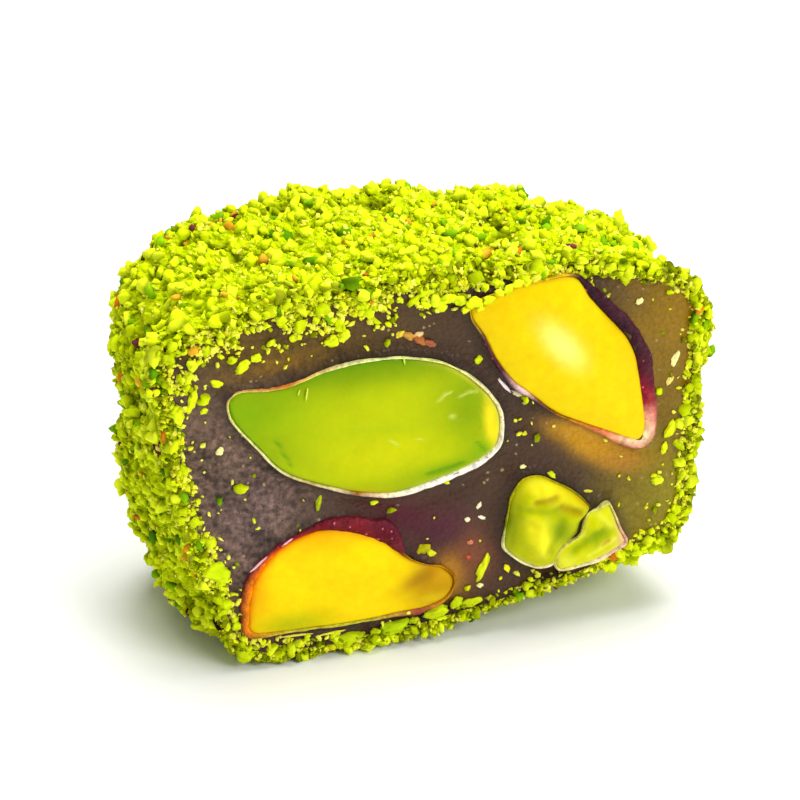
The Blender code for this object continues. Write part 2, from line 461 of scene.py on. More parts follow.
class Effects:
    """The node groups that several finishes share, each built once."""

    def __init__(self) -> None:
        """Builds the groups."""
        self.mottle = self.make_mottle()
        self.crumble = self.make_crumble()
        self.specks = self.make_specks()

    @staticmethod
    def make_mottle() -> Tree:
        """A colour that wanders in lightness and hue, as plant tissue does.

        Returns:
            The group, with inputs Color, Scale, Lightness and Hue and outputs Color and Mask.
        """
        number, shade = "NodeSocketFloat", "NodeSocketColor"
        sockets = {"Color": shade, "Scale": number, "Lightness": number, "Hue": number}
        tree = shader_group("mottle", sockets, {"Color": shade, "Mask": number})
        graph = Graph(tree)
        given = graph.add("NodeGroupInput").outputs
        where = graph.add("ShaderNodeTexCoord").outputs["Object"]
        coarse = {"Vector": where, "Scale": given["Scale"], "Detail": 4.0, "Roughness": 0.65}
        light = graph.add("ShaderNodeTexNoise", coarse).outputs["Fac"]
        finer = graph.maths("MULTIPLY", given["Scale"], 2.7)
        fine = {"Vector": where, "Scale": finer, "Detail": 2.0}
        turn = graph.add("ShaderNodeTexNoise", fine).outputs["Fac"]
        swing = graph.maths("MULTIPLY", graph.spread(light, 0.3, 0.7, -1.0, 1.0), given["Lightness"])
        twist = graph.maths("MULTIPLY", graph.spread(turn, 0.3, 0.7, -1.0, 1.0), given["Hue"])
        shifted = {
            "Hue": graph.maths("ADD", twist, 0.5),
            "Value": graph.maths("ADD", swing, 1.0),
            "Color": given["Color"],
        }
        mixed = graph.add("ShaderNodeHueSaturation", shifted)
        graph.add("NodeGroupOutput", {"Color": mixed.outputs[0], "Mask": light})
        return tree

    @staticmethod
    def make_crumble() -> Tree:
        """The fine broken relief of ground nut and of torn jelly.

        Returns:
            The group, with an input Scale and an output Height.
        """
        number = "NodeSocketFloat"
        tree = shader_group("crumble", {"Scale": number}, {"Height": number})
        graph = Graph(tree)
        given = graph.add("NodeGroupInput").outputs
        where = graph.add("ShaderNodeTexCoord").outputs["Object"]
        cells = {"Vector": where, "Scale": given["Scale"]}
        cell = graph.add("ShaderNodeTexVoronoi", cells).outputs["Distance"]
        finer = {"Vector": where, "Scale": graph.maths("MULTIPLY", given["Scale"], 2.3)}
        grit = graph.add("ShaderNodeTexNoise", finer).outputs["Fac"]
        rounded = graph.spread(cell, 0.0, 0.8, 1.0, 0.0)
        height = graph.maths("ADD", rounded, graph.maths("MULTIPLY", grit, 0.6))
        graph.add("NodeGroupOutput", {"Height": height})
        return tree

    @staticmethod
    def make_specks() -> Tree:
        """Small dots of another colour strewn over a colour, used for painted glints.

        Returns:
            The group, with inputs Color, Dots, Scale and Share and an output Color.
        """
        number, shade = "NodeSocketFloat", "NodeSocketColor"
        sockets = {"Color": shade, "Dots": shade, "Scale": number, "Share": number}
        tree = shader_group("specks", sockets, {"Color": shade})
        graph = Graph(tree)
        given = graph.add("NodeGroupInput").outputs
        where = graph.add("ShaderNodeTexCoord").outputs["Object"]
        stir = graph.maths("MULTIPLY", given["Scale"], 2.0)
        drift = graph.add("ShaderNodeTexNoise", {"Vector": where, "Scale": stir}).outputs["Color"]
        bend = graph.add("ShaderNodeVectorMath", {0: drift, "Scale": 0.00022}, operation="SCALE")
        bent = graph.add("ShaderNodeVectorMath", {0: where, 1: bend.outputs[0]}).outputs[0]
        cells = graph.add("ShaderNodeTexVoronoi", {"Vector": bent, "Scale": given["Scale"]}).outputs
        picked = graph.maths("LESS_THAN", cells["Color"], given["Share"])
        near = graph.spread(cells["Distance"], 0.15, 0.4, 1.0, 0.0)
        mask = graph.maths("MULTIPLY", picked, near)
        dotted = graph.mix(mask, given["Color"], given["Dots"])
        graph.add("NodeGroupOutput", {"Color": dotted})
        return tree


@dataclass(frozen=True)
class Finish:
    """What every surface here shares: a colour that wanders, and a fine relief.

    Attributes:
        name: The material's name.
        mottle: The wander's scale, in lumps to the metre.
        lightness: How far it wanders in lightness.
        hue: How far it wanders in hue.
        relief: The relief's height, in metres.
        strength: How strongly the relief shows.
        depth: How much light goes through the surface, from 0 to 1.
        gloss: How strongly it reflects.
        roughness: How dull it is, when nothing else says.
        grit: The relief's scale, in cells to the metre.
        reach: How far light goes through the surface, in metres.
        specks: The share of its cells that hold a speck, a painted glint.
        speck_scale: The specks' scale, in cells to the metre.
        glint_colour: The specks' colour.
    """

    name: str
    mottle: float
    lightness: float
    hue: float
    relief: float
    strength: float
    depth: float
    gloss: float
    roughness: float = 0.6
    grit: float = 2500.0
    reach: float = 0.0006
    specks: float = 0.0
    speck_scale: float = 2200.0
    glint_colour: Shade = (200, 190, 160)

    BLEED = (1.0, 0.8, 0.35)  # how far red, green and blue light go in it, against each other

    def colour(self, graph: Graph) -> object:
        """The output that gives the colour before it wanders."""
        return graph.add("ShaderNodeAttribute", attribute_name="tint").outputs["Color"]

    def dullness(self, graph: Graph, mask: object) -> object:
        """The output that gives the roughness, from a mask of the wander."""
        low, high = max(0.05, self.roughness - 0.1), min(1.0, self.roughness + 0.1)
        return graph.spread(mask, 0.3, 0.7, low, high)

    def swing(self, graph: Graph) -> object:
        """How far the colour wanders in lightness, as a number or an output that gives it."""
        return self.lightness

    def material(self, effects: Effects) -> Material:
        """Builds the material.

        Args:
            effects: The shared node groups.

        Returns:
            The new material.
        """
        made = bpy.data.materials.new(self.name)
        made.use_nodes = True
        graph = Graph(made.node_tree)
        shader = made.node_tree.nodes["Principled BSDF"]
        wander = {
            "Color": self.colour(graph),
            "Scale": self.mottle,
            "Lightness": self.swing(graph),
            "Hue": self.hue,
        }
        mottle = graph.group(effects.mottle, wander)
        shade = mottle["Color"]
        if self.specks > 0.0:
            dots = {"Color": shade, "Dots": tint(self.glint_colour), "Scale": self.speck_scale}
            shade = graph.group(effects.specks, {**dots, "Share": self.specks})["Color"]
        height = graph.group(effects.crumble, {"Scale": self.grit})["Height"]
        relief = {"Height": height, "Strength": self.strength, "Distance": self.relief}
        surface = {
            "Base Color": shade,
            "Roughness": self.dullness(graph, mottle["Mask"]),
            "Normal": graph.add("ShaderNodeBump", relief).outputs["Normal"],
            "Subsurface Weight": self.depth,
            "Subsurface Radius": self.BLEED,
            "Subsurface Scale": self.reach,
            "Specular IOR Level": self.gloss,
        }
        graph.feed(shader, surface)
        return made


@dataclass(frozen=True)
class JellyFinish(Finish):
    """Starch jelly, whose dullness is painted on it with its colour."""

    def dullness(self, graph: Graph, mask: object) -> object:
        """The output that gives the roughness painted on the jelly, broken up by the mask."""
        painted = graph.add("ShaderNodeAttribute", attribute_name="dullness").outputs["Fac"]
        return graph.maths("MULTIPLY", painted, graph.spread(mask, 0.3, 0.7, 0.8, 1.2))

    def swing(self, graph: Graph) -> object:
        """The output that makes the colour wander more where the knife tore the jelly."""
        painted = graph.add("ShaderNodeAttribute", attribute_name="dullness").outputs["Fac"]
        return graph.spread(painted, 0.34, 0.64, self.lightness, 4.0 * self.lightness)


FLESH = Finish(
    "kernel_flesh", roughness=0.34, mottle=700.0, lightness=0.05, hue=0.006, grit=3500.0,
    relief=0.00003, strength=0.35, depth=0.1, reach=0.001, gloss=0.06,
)
# the pink specks on the skin are painted glints
SKIN = Finish(
    "kernel_skin", roughness=0.36, mottle=2500.0, lightness=0.4, hue=0.015, grit=4000.0,
    relief=0.00008, strength=0.7, depth=0.0, gloss=0.1, specks=0.17, speck_scale=4200.0,
    glint_colour=(214, 120, 130),
)
# the pale specks on the jelly are painted glints
STARCH = JellyFinish(
    "starch_jelly", mottle=3600.0, lightness=0.16, hue=0.012, grit=3400.0, relief=0.0001,
    strength=0.5, depth=0.1, reach=0.001, gloss=0.18, specks=0.12, speck_scale=3400.0,
    glint_colour=(160, 142, 96),
)
PACKED = Finish(
    "packed_crumbs", roughness=0.75, mottle=1500.0, lightness=0.25, hue=0.015, grit=2600.0,
    relief=0.00025, strength=0.8, depth=0.0, gloss=0.02,
)
GROUND = Finish(
    "ground_pistachio", roughness=0.7, mottle=2200.0, lightness=0.1, hue=0.008,
    relief=0.00006, strength=0.5, depth=0.0, gloss=0.02,
)


# -------- the frame, read by rays


class Layer(Enum):
    """A side of the coat."""

    OUTSIDE = "outside"
    INSIDE = "inside"


class Shell:
    """The coat's solid, read by rays from the heart of the block."""

    BACK = Vector((0.0, 1.0, 0.0))  # straight away from the cut
    FAR = 80.0 * MM  # how far a ray runs
    HEART_DEPTH = 6.0 * MM  # how far behind the cut the rays start
    SKIM = 0.3 * MM  # the coat starts up to this far behind the cut
    READINGS = 110  # rays along each line

    def __init__(self) -> None:
        """Reads the coat's solid and the jelly's box."""
        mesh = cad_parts["crumb_coat"].data
        corners = [vertex.co.copy() for vertex in mesh.vertices]
        self.tree = BVHTree.FromPolygons(corners, [list(face.vertices) for face in mesh.polygons])
        low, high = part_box("jelly")
        self.left = low.x
        self.cut = low.y
        self.heart = Vector(((low.x + high.x) / 2, low.y + self.HEART_DEPTH, (low.z + high.z) / 2))

    def world(self, flat: Points, depth: Points) -> Points:
        """Places in metres from places on the cut and depths behind it, in millimetres."""
        across = self.left + flat[:, 0] * MM
        return np.stack([across, self.cut + depth * MM, flat[:, 1] * MM], 1)

    def flat(self, points: Points) -> Points:
        """Across and up on the cut, in millimetres, from places in metres."""
        return np.stack([points[:, 0] - self.left, points[:, 2]], 1) / MM

    def hit(self, heart: Vector, direction: Vector, layer: Layer) -> Vector | None:
        """Where a ray from inside the block meets one side of the coat.

        Args:
            heart: Where the ray starts.
            direction: The way it runs.
            layer: The side of the coat that is looked for.

        Returns:
            The place, or None where there is no coat.
        """
        if layer is Layer.INSIDE:
            return self.tree.ray_cast(heart, direction, self.FAR)[0]
        return self.tree.ray_cast(heart + direction * self.FAR, -direction, self.FAR)[0]

    @staticmethod
    def spoke(angle: float) -> Vector:
        """The way out from the middle of the face at an angle, in radians."""
        return Vector((math.cos(angle), 0.0, math.sin(angle)))

    def edge(self, angle: float, layer: Layer) -> Vector:
        """The coat's edge at the cut, in this direction round the face."""
        start = Vector((self.heart.x, self.cut + self.SKIM, self.heart.z))
        place = self.hit(start, self.spoke(angle), layer)
        return Vector((place.x, self.cut, place.z))

    def line_back(self, angle: float, layer: Layer, count: int) -> Points:
        """Evenly spaced points from the coat's edge at the cut to the middle of the back.

        Args:
            angle: The direction round the face.
            layer: The side of the coat.
            count: How many points to make.

        Returns:
            The points, one a row.
        """
        edge = self.edge(angle, layer)
        places = [edge]
        start = (edge - self.heart).angle(self.BACK)
        for step in range(1, self.READINGS + 1):
            polar = start * (1.0 - step / self.READINGS)
            way = self.spoke(angle) * math.sin(polar) + self.BACK * math.cos(polar)
            place = self.hit(self.heart, way, layer)
            if place is not None:
                places.append(place)
        return along_rows(np.array(places), count)

    def lines_back(self, around: int, layer: Layer, count: int) -> Points:
        """Evenly spaced lines back from the cut, all round the face.

        Args:
            around: How many lines there are.
            layer: The side of the coat.
            count: How many points each has.

        Returns:
            The points, by row, line and axis.
        """
        angles = np.arange(around) * FULL_TURN / around
        return np.stack([self.line_back(angle, layer, count) for angle in angles], 1)


class Outline:
    """A closed outline on the cut face, round its own middle, in millimetres."""

    def __init__(self, points: Points) -> None:
        """Takes the outline's points.

        Args:
            points: across and up of each, anticlockwise.
        """
        self.points = points
        self.middle = (points.min(0) + points.max(0)) / 2.0
        away = points - self.middle
        angles = bearings(away)
        order = np.argsort(angles)
        self.angles, self.reaches = angles[order], np.linalg.norm(away, axis=1)[order]

    def reach(self, angles: Points) -> Points:
        """How far the outline is from its middle in each direction."""
        return np.interp(angles, self.angles, self.reaches, period=FULL_TURN)

    def share(self, places: Points) -> Points:
        """How far out each place is, as a share of the way from the middle to the outline."""
        away = places - self.middle
        return np.linalg.norm(away, axis=1) / self.reach(bearings(away))

    def gap(self, places: Points) -> Points:
        """How far each place is outside the outline, along its spoke, and negative inside."""
        away = places - self.middle
        return np.linalg.norm(away, axis=1) - self.reach(bearings(away))

    def grown(self, amount: float) -> Points:
        """The outline's points moved out along their spokes."""
        away = self.points - self.middle
        length = np.linalg.norm(away, axis=1, keepdims=True)
        return self.middle + away * (length + amount) / length


# -------- paint on the cut


@dataclass(frozen=True)
class Wash:
    """A soft patch of colour on the cut face. Some give the jelly's or the flesh's own colour, some are
    painted highlights and shade, and some are painted light let through the jelly.

    Attributes:
        across: Its middle, in millimetres from the left end of the jelly.
        up: Its middle's height over the table.
        wide: Half its width.
        tall: Half its height.
        colour: Its colour.
        strength: How much of the colour shows in its middle.
        tilt: How far it is turned, in degrees.
        edge: How sharp its edge is, where 1 is soft.
    """

    across: float
    up: float
    wide: float
    tall: float
    colour: Shade
    strength: float = 1.0
    tilt: float = 0.0
    edge: float = 1.0

    def cover(self, places: Points) -> Points:
        """How much of the stain is at each place.

        Args:
            places: across and up of each.

        Returns:
            A share from 0 to 1 for each place.
        """
        turn = math.radians(self.tilt)
        off = places - np.array([self.across, self.up])
        along = off[:, 0] * math.cos(turn) + off[:, 1] * math.sin(turn)
        rise = off[:, 1] * math.cos(turn) - off[:, 0] * math.sin(turn)
        spread = ((along / self.wide) ** 2 + (rise / self.tall) ** 2) ** self.edge
        return self.strength * np.exp(-spread)


def washed(places: Points, base: Points, washes: Sequence[Wash]) -> Points:
    """Colours with stains laid over them in order.

    Args:
        places: across and up of each point.
        base: The colour of each point before.
        washes: The stains, the lowest first.

    Returns:
        The colour of each point after.
    """
    colours = base.copy()
    for wash in washes:
        share = wash.cover(places)[:, None]
        colours = blend(colours, np.array(tint(wash.colour)), share)
    return colours


# -------- kernels


class CutLook(Enum):
    """How the knife left a kernel."""

    SLICED = "sliced"
    SWOLLEN = "swollen"
    BROKEN = "broken"


@dataclass(frozen=True)
class Rim:
    """One place round the rim of a kernel.

    Attributes:
        angle: Where it is, in degrees anticlockwise from the right.
        width: How wide the rim's band is there, in millimetres.
        colour: Its colour there, next to the flesh.
        outer: Its colour at the outer edge, where that differs.
    """

    angle: float
    width: float
    colour: Shade
    outer: Shade | None = None


@dataclass(frozen=True)
class Groove:
    """A short scratch or ridge on a cut kernel, between two places in shares of its half box.

    Attributes:
        start: One end.
        end: The other.
        width: Half its width, in millimetres.
        depth: How deep it is, in millimetres, and below zero for a ridge.
        colour: Its colour.
        strength: How much of the colour shows.
    """

    start: tuple[float, float]
    end: tuple[float, float]
    width: float
    depth: float
    colour: Shade
    strength: float = 0.6

    def cover(self, flat: Points, middle: Points, half: Points) -> Points:
        """How much of the groove is at each place.

        Args:
            flat: across and up of each place.
            middle: The middle of the kernel's box.
            half: Half its width and height.

        Returns:
            A share from 0 to 1 for each place.
        """
        first = middle + np.array(self.start) * half
        run = middle + np.array(self.end) * half - first
        share = np.clip((flat - first) @ run / (run @ run), 0.0, 1.0)
        away = np.linalg.norm(flat - first - share[:, None] * run, axis=1)
        return np.exp(-((away / self.width) ** 2))


def read_round(stops: Sequence[Rim], angles: Points) -> tuple[Points, Points, Points]:
    """A rim's width and colours in each direction.

    Args:
        stops: The places that say them.
        angles: The directions, in radians.

    Returns:
        The widths in millimetres, the inner colours and the outer colours.
    """
    ordered = sorted(stops, key=lambda stop: stop.angle)
    where = np.radians([stop.angle for stop in ordered])
    inner = np.array([tint(stop.colour) for stop in ordered])
    outer = np.array([tint(stop.outer or stop.colour) for stop in ordered])

    def read(values: Points) -> Points:
        """Reads one list of values in each direction."""
        return np.interp(angles, where, values, period=FULL_TURN)

    widths = read(np.array([stop.width for stop in ordered]))
    inner = np.stack([read(inner[:, channel]) for channel in range(4)], 1)
    outer = np.stack([read(outer[:, channel]) for channel in range(4)], 1)
    return widths, inner, outer


@dataclass
class Kernel:
    """One pistachio kernel cut by the knife: its flesh, and the skin round it.

    Attributes:
        name: The name its pieces start with.
        node: The CAD node that it stands for.
        slot: The record's material slot; not used here.
        corners: The corners of its cut as shares of half the node's box, anticlockwise.
        look: How the knife left it.
        proud: How far its rim stands out of the jelly, in millimetres.
        dome: How much its cut swells.
        base: The colour of its flesh.
        washes: Patches of colour on its flesh, with places in the same shares.
        edge: The colour of the flesh along its rim.
        skin: The places round its skin.
        grooves: The scratches and ridges on its cut.
        skin_lift: How far the skin stands out, in millimetres.
    """

    name: str
    node: str
    slot: str
    corners: list[tuple[float, float]]
    look: CutLook
    proud: float
    dome: float
    base: Shade
    washes: list[Wash]
    edge: list[Rim]
    skin: list[Rim]
    grooves: list[Groove] = field(default_factory=list)
    skin_lift: float = 0.12

    CURVE_STEPS = 14
    FACE_RINGS = 24
    BACK_RINGS = 7
    EDGE_ROUND = 0.22  # radius of the edge of the cut, in millimetres
    EDGE_SHARE = 0.85  # how much of the rim's colour shows at the very edge
    SKIN_SIDES = 14
    SKIN_DEPTH = 0.9  # how far the skin runs into the jelly, in millimetres
    DRAWN = np.array([0.35, 1.0, 1.0])  # how the knife drew out the fine lumps of a sliced kernel
    LUMPS = {  # height, width and noise seed of the broad lumps and of the fine ones
        CutLook.SLICED: ((0.12, 4.0, 1), (0.04, 0.7, 2)),
        CutLook.SWOLLEN: ((0.14, 3.0, 3), (0.04, 0.9, 4)),
        CutLook.BROKEN: ((0.26, 1.4, 5), (0.12, 0.55, 6)),
    }

    def place_on(self, shell: Shell) -> None:
        """Works out the kernel's outline on the cut face.

        Args:
            shell: The coat's solid, which has the cut's place.
        """
        low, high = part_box(self.node)
        middle, half = (low + high) / 2.0, (high - low) / 2.0
        self.half = np.array([half.x, half.z]) / MM
        self.middle = np.array([middle.x - shell.left, middle.z]) / MM
        curve = closed_curve(self.corners, self.CURVE_STEPS)
        self.outline = Outline(self.middle + curve * self.half)
        self.deepest = (high.y - shell.cut) / MM
        self.shell = shell

    def relief(self, flat: Points, share: Points) -> Points:
        """How far the cut stands out at each place of the kernel.

        Args:
            flat: across and up of each place.
            share: How far out each is, from the middle to the outline.

        Returns:
            The height over the cut plane, in millimetres.
        """
        inward = np.clip((1.0 - share) * self.outline.reaches.mean(), 0.0, self.EDGE_ROUND)
        edge = self.EDGE_ROUND - np.sqrt(self.EDGE_ROUND**2 - (self.EDGE_ROUND - inward) ** 2)
        height = self.proud - edge + self.dome * (1.0 - share**2)
        solid = in_space(flat)
        drawn = solid * self.DRAWN if self.look is CutLook.SLICED else solid
        (high, wide, seed), (fine_high, fine_wide, fine_seed) = self.LUMPS[self.look]
        broad = high * noise_at(solid, wide, seed)
        fine = fine_high * noise_at(drawn, fine_wide, fine_seed)
        height += (1.0 - share**6) * (broad + fine)
        for groove in self.grooves:
            height -= groove.depth * groove.cover(flat, self.middle, self.half)
        return height

    def build_flesh(self, finish: Material) -> Piece:
        """Builds the kernel's flesh.

        Args:
            finish: Its material.

        Returns:
            The new piece.
        """
        curve = self.outline.points
        around = len(curve)
        heart = self.outline.middle
        rings = []
        for ring in range(1, self.FACE_RINGS + 1):
            share = 1.0 - (1.0 - ring / self.FACE_RINGS) ** 1.35
            flat = heart + (curve - heart) * share
            rings.append(self.shell.world(flat, -self.relief(flat, np.full(around, share))))
        for ring in range(1, self.BACK_RINGS):
            swing = 0.5 * math.pi * ring / self.BACK_RINGS
            flat = heart + (curve - heart) * math.cos(swing)
            rings.append(self.shell.world(flat, np.full(around, self.deepest * math.sin(swing))))
        front = self.shell.world(heart[None], -self.relief(heart[None], np.zeros(1)))
        back = self.shell.world(heart[None], np.array([self.deepest]))
        points = np.concatenate([front, *rings, back])
        last = 1 + (len(rings) - 1) * around
        faces = [
            cap_faces(1, around, 0, False),
            ring_faces(len(rings), around, 1),
            cap_faces(last, around, len(points) - 1, True),
        ]
        piece = make_mesh(self.name + "_flesh", points, faces, finish)
        paint(piece, "tint", self.flesh_colours(self.shell.flat(points)))
        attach(piece, ROOT)
        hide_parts(self.node)
        return piece

    def flesh_colours(self, flat: Points) -> Points:
        """The flesh's colour at each place on the cut.

        Args:
            flat: across and up of each place.

        Returns:
            The colours.
        """
        base = np.tile(np.array(tint(self.base)), (len(flat), 1))
        colours = washed((flat - self.middle) / self.half, base, self.washes)
        widths, shades, _ = read_round(self.edge, bearings(flat - self.outline.middle))
        gap = self.outline.gap(flat)
        share = self.EDGE_SHARE * np.exp(-((gap / widths) ** 2))[:, None]
        colours = blend(colours, shades, share)
        for groove in self.grooves:
            share = groove.strength * groove.cover(flat, self.middle, self.half)[:, None]
            colours = blend(colours, np.array(tint(groove.colour)), share)
        return colours

    def build_skin(self, finish: Material) -> Piece:
        """Builds the band of skin round the flesh, as a lip that runs into the jelly.

        Args:
            finish: Its material.

        Returns:
            The new piece.
        """
        curve, heart = self.outline.points, self.outline.middle
        around = len(curve)
        along = np.roll(curve, -1, 0) - np.roll(curve, 1, 0)
        out = np.stack([along[:, 1], -along[:, 0]], 1)
        out /= np.linalg.norm(out, axis=1, keepdims=True)
        away = curve - heart
        widths, inner, outer = read_round(self.skin, bearings(away))
        solid = in_space(curve)
        widths = widths * (1.0 + 0.2 * noise_at(solid, 1.3, 7) + 0.08 * noise_at(solid, 0.4, 8))
        lift = self.proud + self.skin_lift * (1.0 + 0.6 * noise_at(solid, 1.1, 9))
        rings, shades = [], []
        for side in range(self.SKIN_SIDES):
            turn = FULL_TURN * side / self.SKIN_SIDES
            share = 0.42 + 0.58 * math.cos(turn)
            flat = curve + out * (widths * share)[:, None]
            rise = math.sin(turn)
            crease = 0.13 * noise_at(in_space(flat), 0.45, 15)
            wrinkle = crease * np.minimum(widths / 0.5, 1.0)
            high = -(lift + wrinkle) * rise
            depth = high if rise > 0.0 else np.full(around, -self.SKIN_DEPTH * rise)
            rings.append(self.shell.world(flat, depth))
            reach = max(share, 0.0) ** 1.5
            # painted light on the raised creases of the skin and painted shade in its hollows
            shades.append(blend(inner, outer, reach) * (1.0 + 2.4 * wrinkle[:, None]))
        points = np.concatenate(rings)
        faces = ring_faces(self.SKIN_SIDES + 1, around) % len(points)
        piece = make_mesh(self.name + "_skin", points, [faces], finish)
        paint(piece, "tint", np.clip(np.concatenate(shades), 0.0, 1.0))
        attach(piece, ROOT)
        return piece


# The long green kernel in the middle of the cut, sliced flat from end to end
CREAM, WHITE = (232, 226, 160), (250, 244, 226)
DEEP, PALE = (96, 150, 6), (236, 240, 120)
CENTRE = Kernel(
    name="kernel_centre",
    node="kernel_centre",
    slot="kernel_green",
    corners=[
        (0.97, -0.19), (0.95, 0.12), (0.82, 0.47), (0.59, 0.82), (0.32, 0.98), (0.05, 1.02), (-0.25, 0.965),
        (-0.49, 0.83), (-0.665, 0.80), (-0.85, 0.83), (-0.93, 0.76), (-0.945, 0.62), (-0.90, 0.40),
        (-0.745, 0.03), (-0.545, -0.38), (-0.17, -0.70), (0.06, -0.82), (0.26, -0.85), (0.52, -0.75),
        (0.78, -0.60), (0.93, -0.42),
    ],
    look=CutLook.SLICED,
    proud=0.18,
    dome=0.05,
    base=(176, 192, 0),
    washes=[
        Wash(-0.85, 0.5, 0.5, 0.6, (122, 166, 0), 0.85),
        Wash(0.0, 1.0, 1.1, 0.34, (108, 146, 0), 0.85, edge=1.4),
        Wash(-0.5, -0.2, 0.45, 0.22, (128, 164, 0), 0.7, tilt=-38.0),
        Wash(0.1, -0.3, 0.55, 0.36, (202, 206, 0), 0.9), Wash(0.05, 0.3, 0.45, 0.3, (190, 200, 0), 0.6),
        Wash(0.1, -0.85, 0.5, 0.2, (160, 172, 0), 0.8), Wash(0.74, 0.25, 0.2, 0.6, (128, 160, 0), 0.85),
        Wash(0.905, -0.1, 0.05, 0.42, (250, 228, 30), 0.95, tilt=4.0, edge=1.6),
        Wash(0.6, -0.62, 0.3, 0.12, (110, 158, 4), 0.8, tilt=14.0),
        Wash(0.84, -0.42, 0.1, 0.14, (120, 168, 6), 0.8),
    ],
    edge=[
        Rim(-170, 0.2, (150, 190, 10)), Rim(-120, 0.22, (150, 176, 4)), Rim(-90, 0.25, (190, 160, 6)),
        Rim(-60, 0.3, (150, 170, 10)), Rim(-20, 0.12, (226, 220, 90)), Rim(20, 0.2, (226, 214, 70)),
        Rim(60, 0.3, (96, 146, 4)), Rim(120, 0.32, (100, 150, 4)), Rim(165, 0.25, (120, 170, 6)),
    ],
    grooves=[
        Groove((0.53, 0.36), (0.57, 0.43), 0.08, -0.05, PALE, 0.5),
        Groove((0.57, 0.43), (0.62, 0.45), 0.07, -0.05, PALE, 0.5),
        Groove((0.68, 0.37), (0.74, 0.42), 0.08, -0.05, PALE, 0.5),
        Groove((0.74, 0.42), (0.80, 0.41), 0.07, -0.05, PALE, 0.5),
        Groove((0.62, 0.12), (0.66, 0.03), 0.08, -0.04, PALE, 0.45),
        Groove((0.18, -0.10), (0.23, -0.19), 0.08, -0.04, PALE, 0.35),
        Groove((0.38, -0.13), (0.41, -0.18), 0.07, -0.03, PALE, 0.35),
        Groove((-0.63, 0.13), (-0.52, -0.27), 0.08, 0.08, DEEP, 0.7),
        Groove((0.45, -0.66), (0.70, -0.56), 0.1, 0.1, DEEP, 0.8),
        Groove((0.80, -0.3), (0.86, -0.44), 0.08, 0.06, DEEP, 0.7),
        Groove((-0.1, 0.1), (0.3, 0.0), 0.3, 0.05, (170, 196, 2), 0.3),
    ],
    skin=[
        Rim(-170, 0.14, CREAM), Rim(-140, 0.14, (206, 186, 110), (150, 90, 60)),
        Rim(-115, 0.18, (235, 220, 160), (226, 200, 170)), Rim(-98, 0.24, (150, 100, 20), (150, 60, 50)),
        Rim(-75, 0.3, (240, 226, 170), (235, 200, 190)), Rim(-50, 0.42, WHITE), Rim(-20, 0.34, WHITE),
        Rim(0, 0.2, (250, 240, 180)), Rim(40, 0.09, (236, 238, 140)), Rim(90, 0.13, (236, 238, 160)),
        Rim(112, 0.16, (240, 236, 160), (236, 214, 140)), Rim(130, 0.15, (240, 228, 120), (226, 180, 90)),
        Rim(144, 0.18, (206, 150, 40), (206, 106, 40)), Rim(152, 0.14, (236, 216, 110), (200, 120, 50)),
        Rim(164, 0.14, (230, 226, 130), (214, 190, 100)),
    ],
)


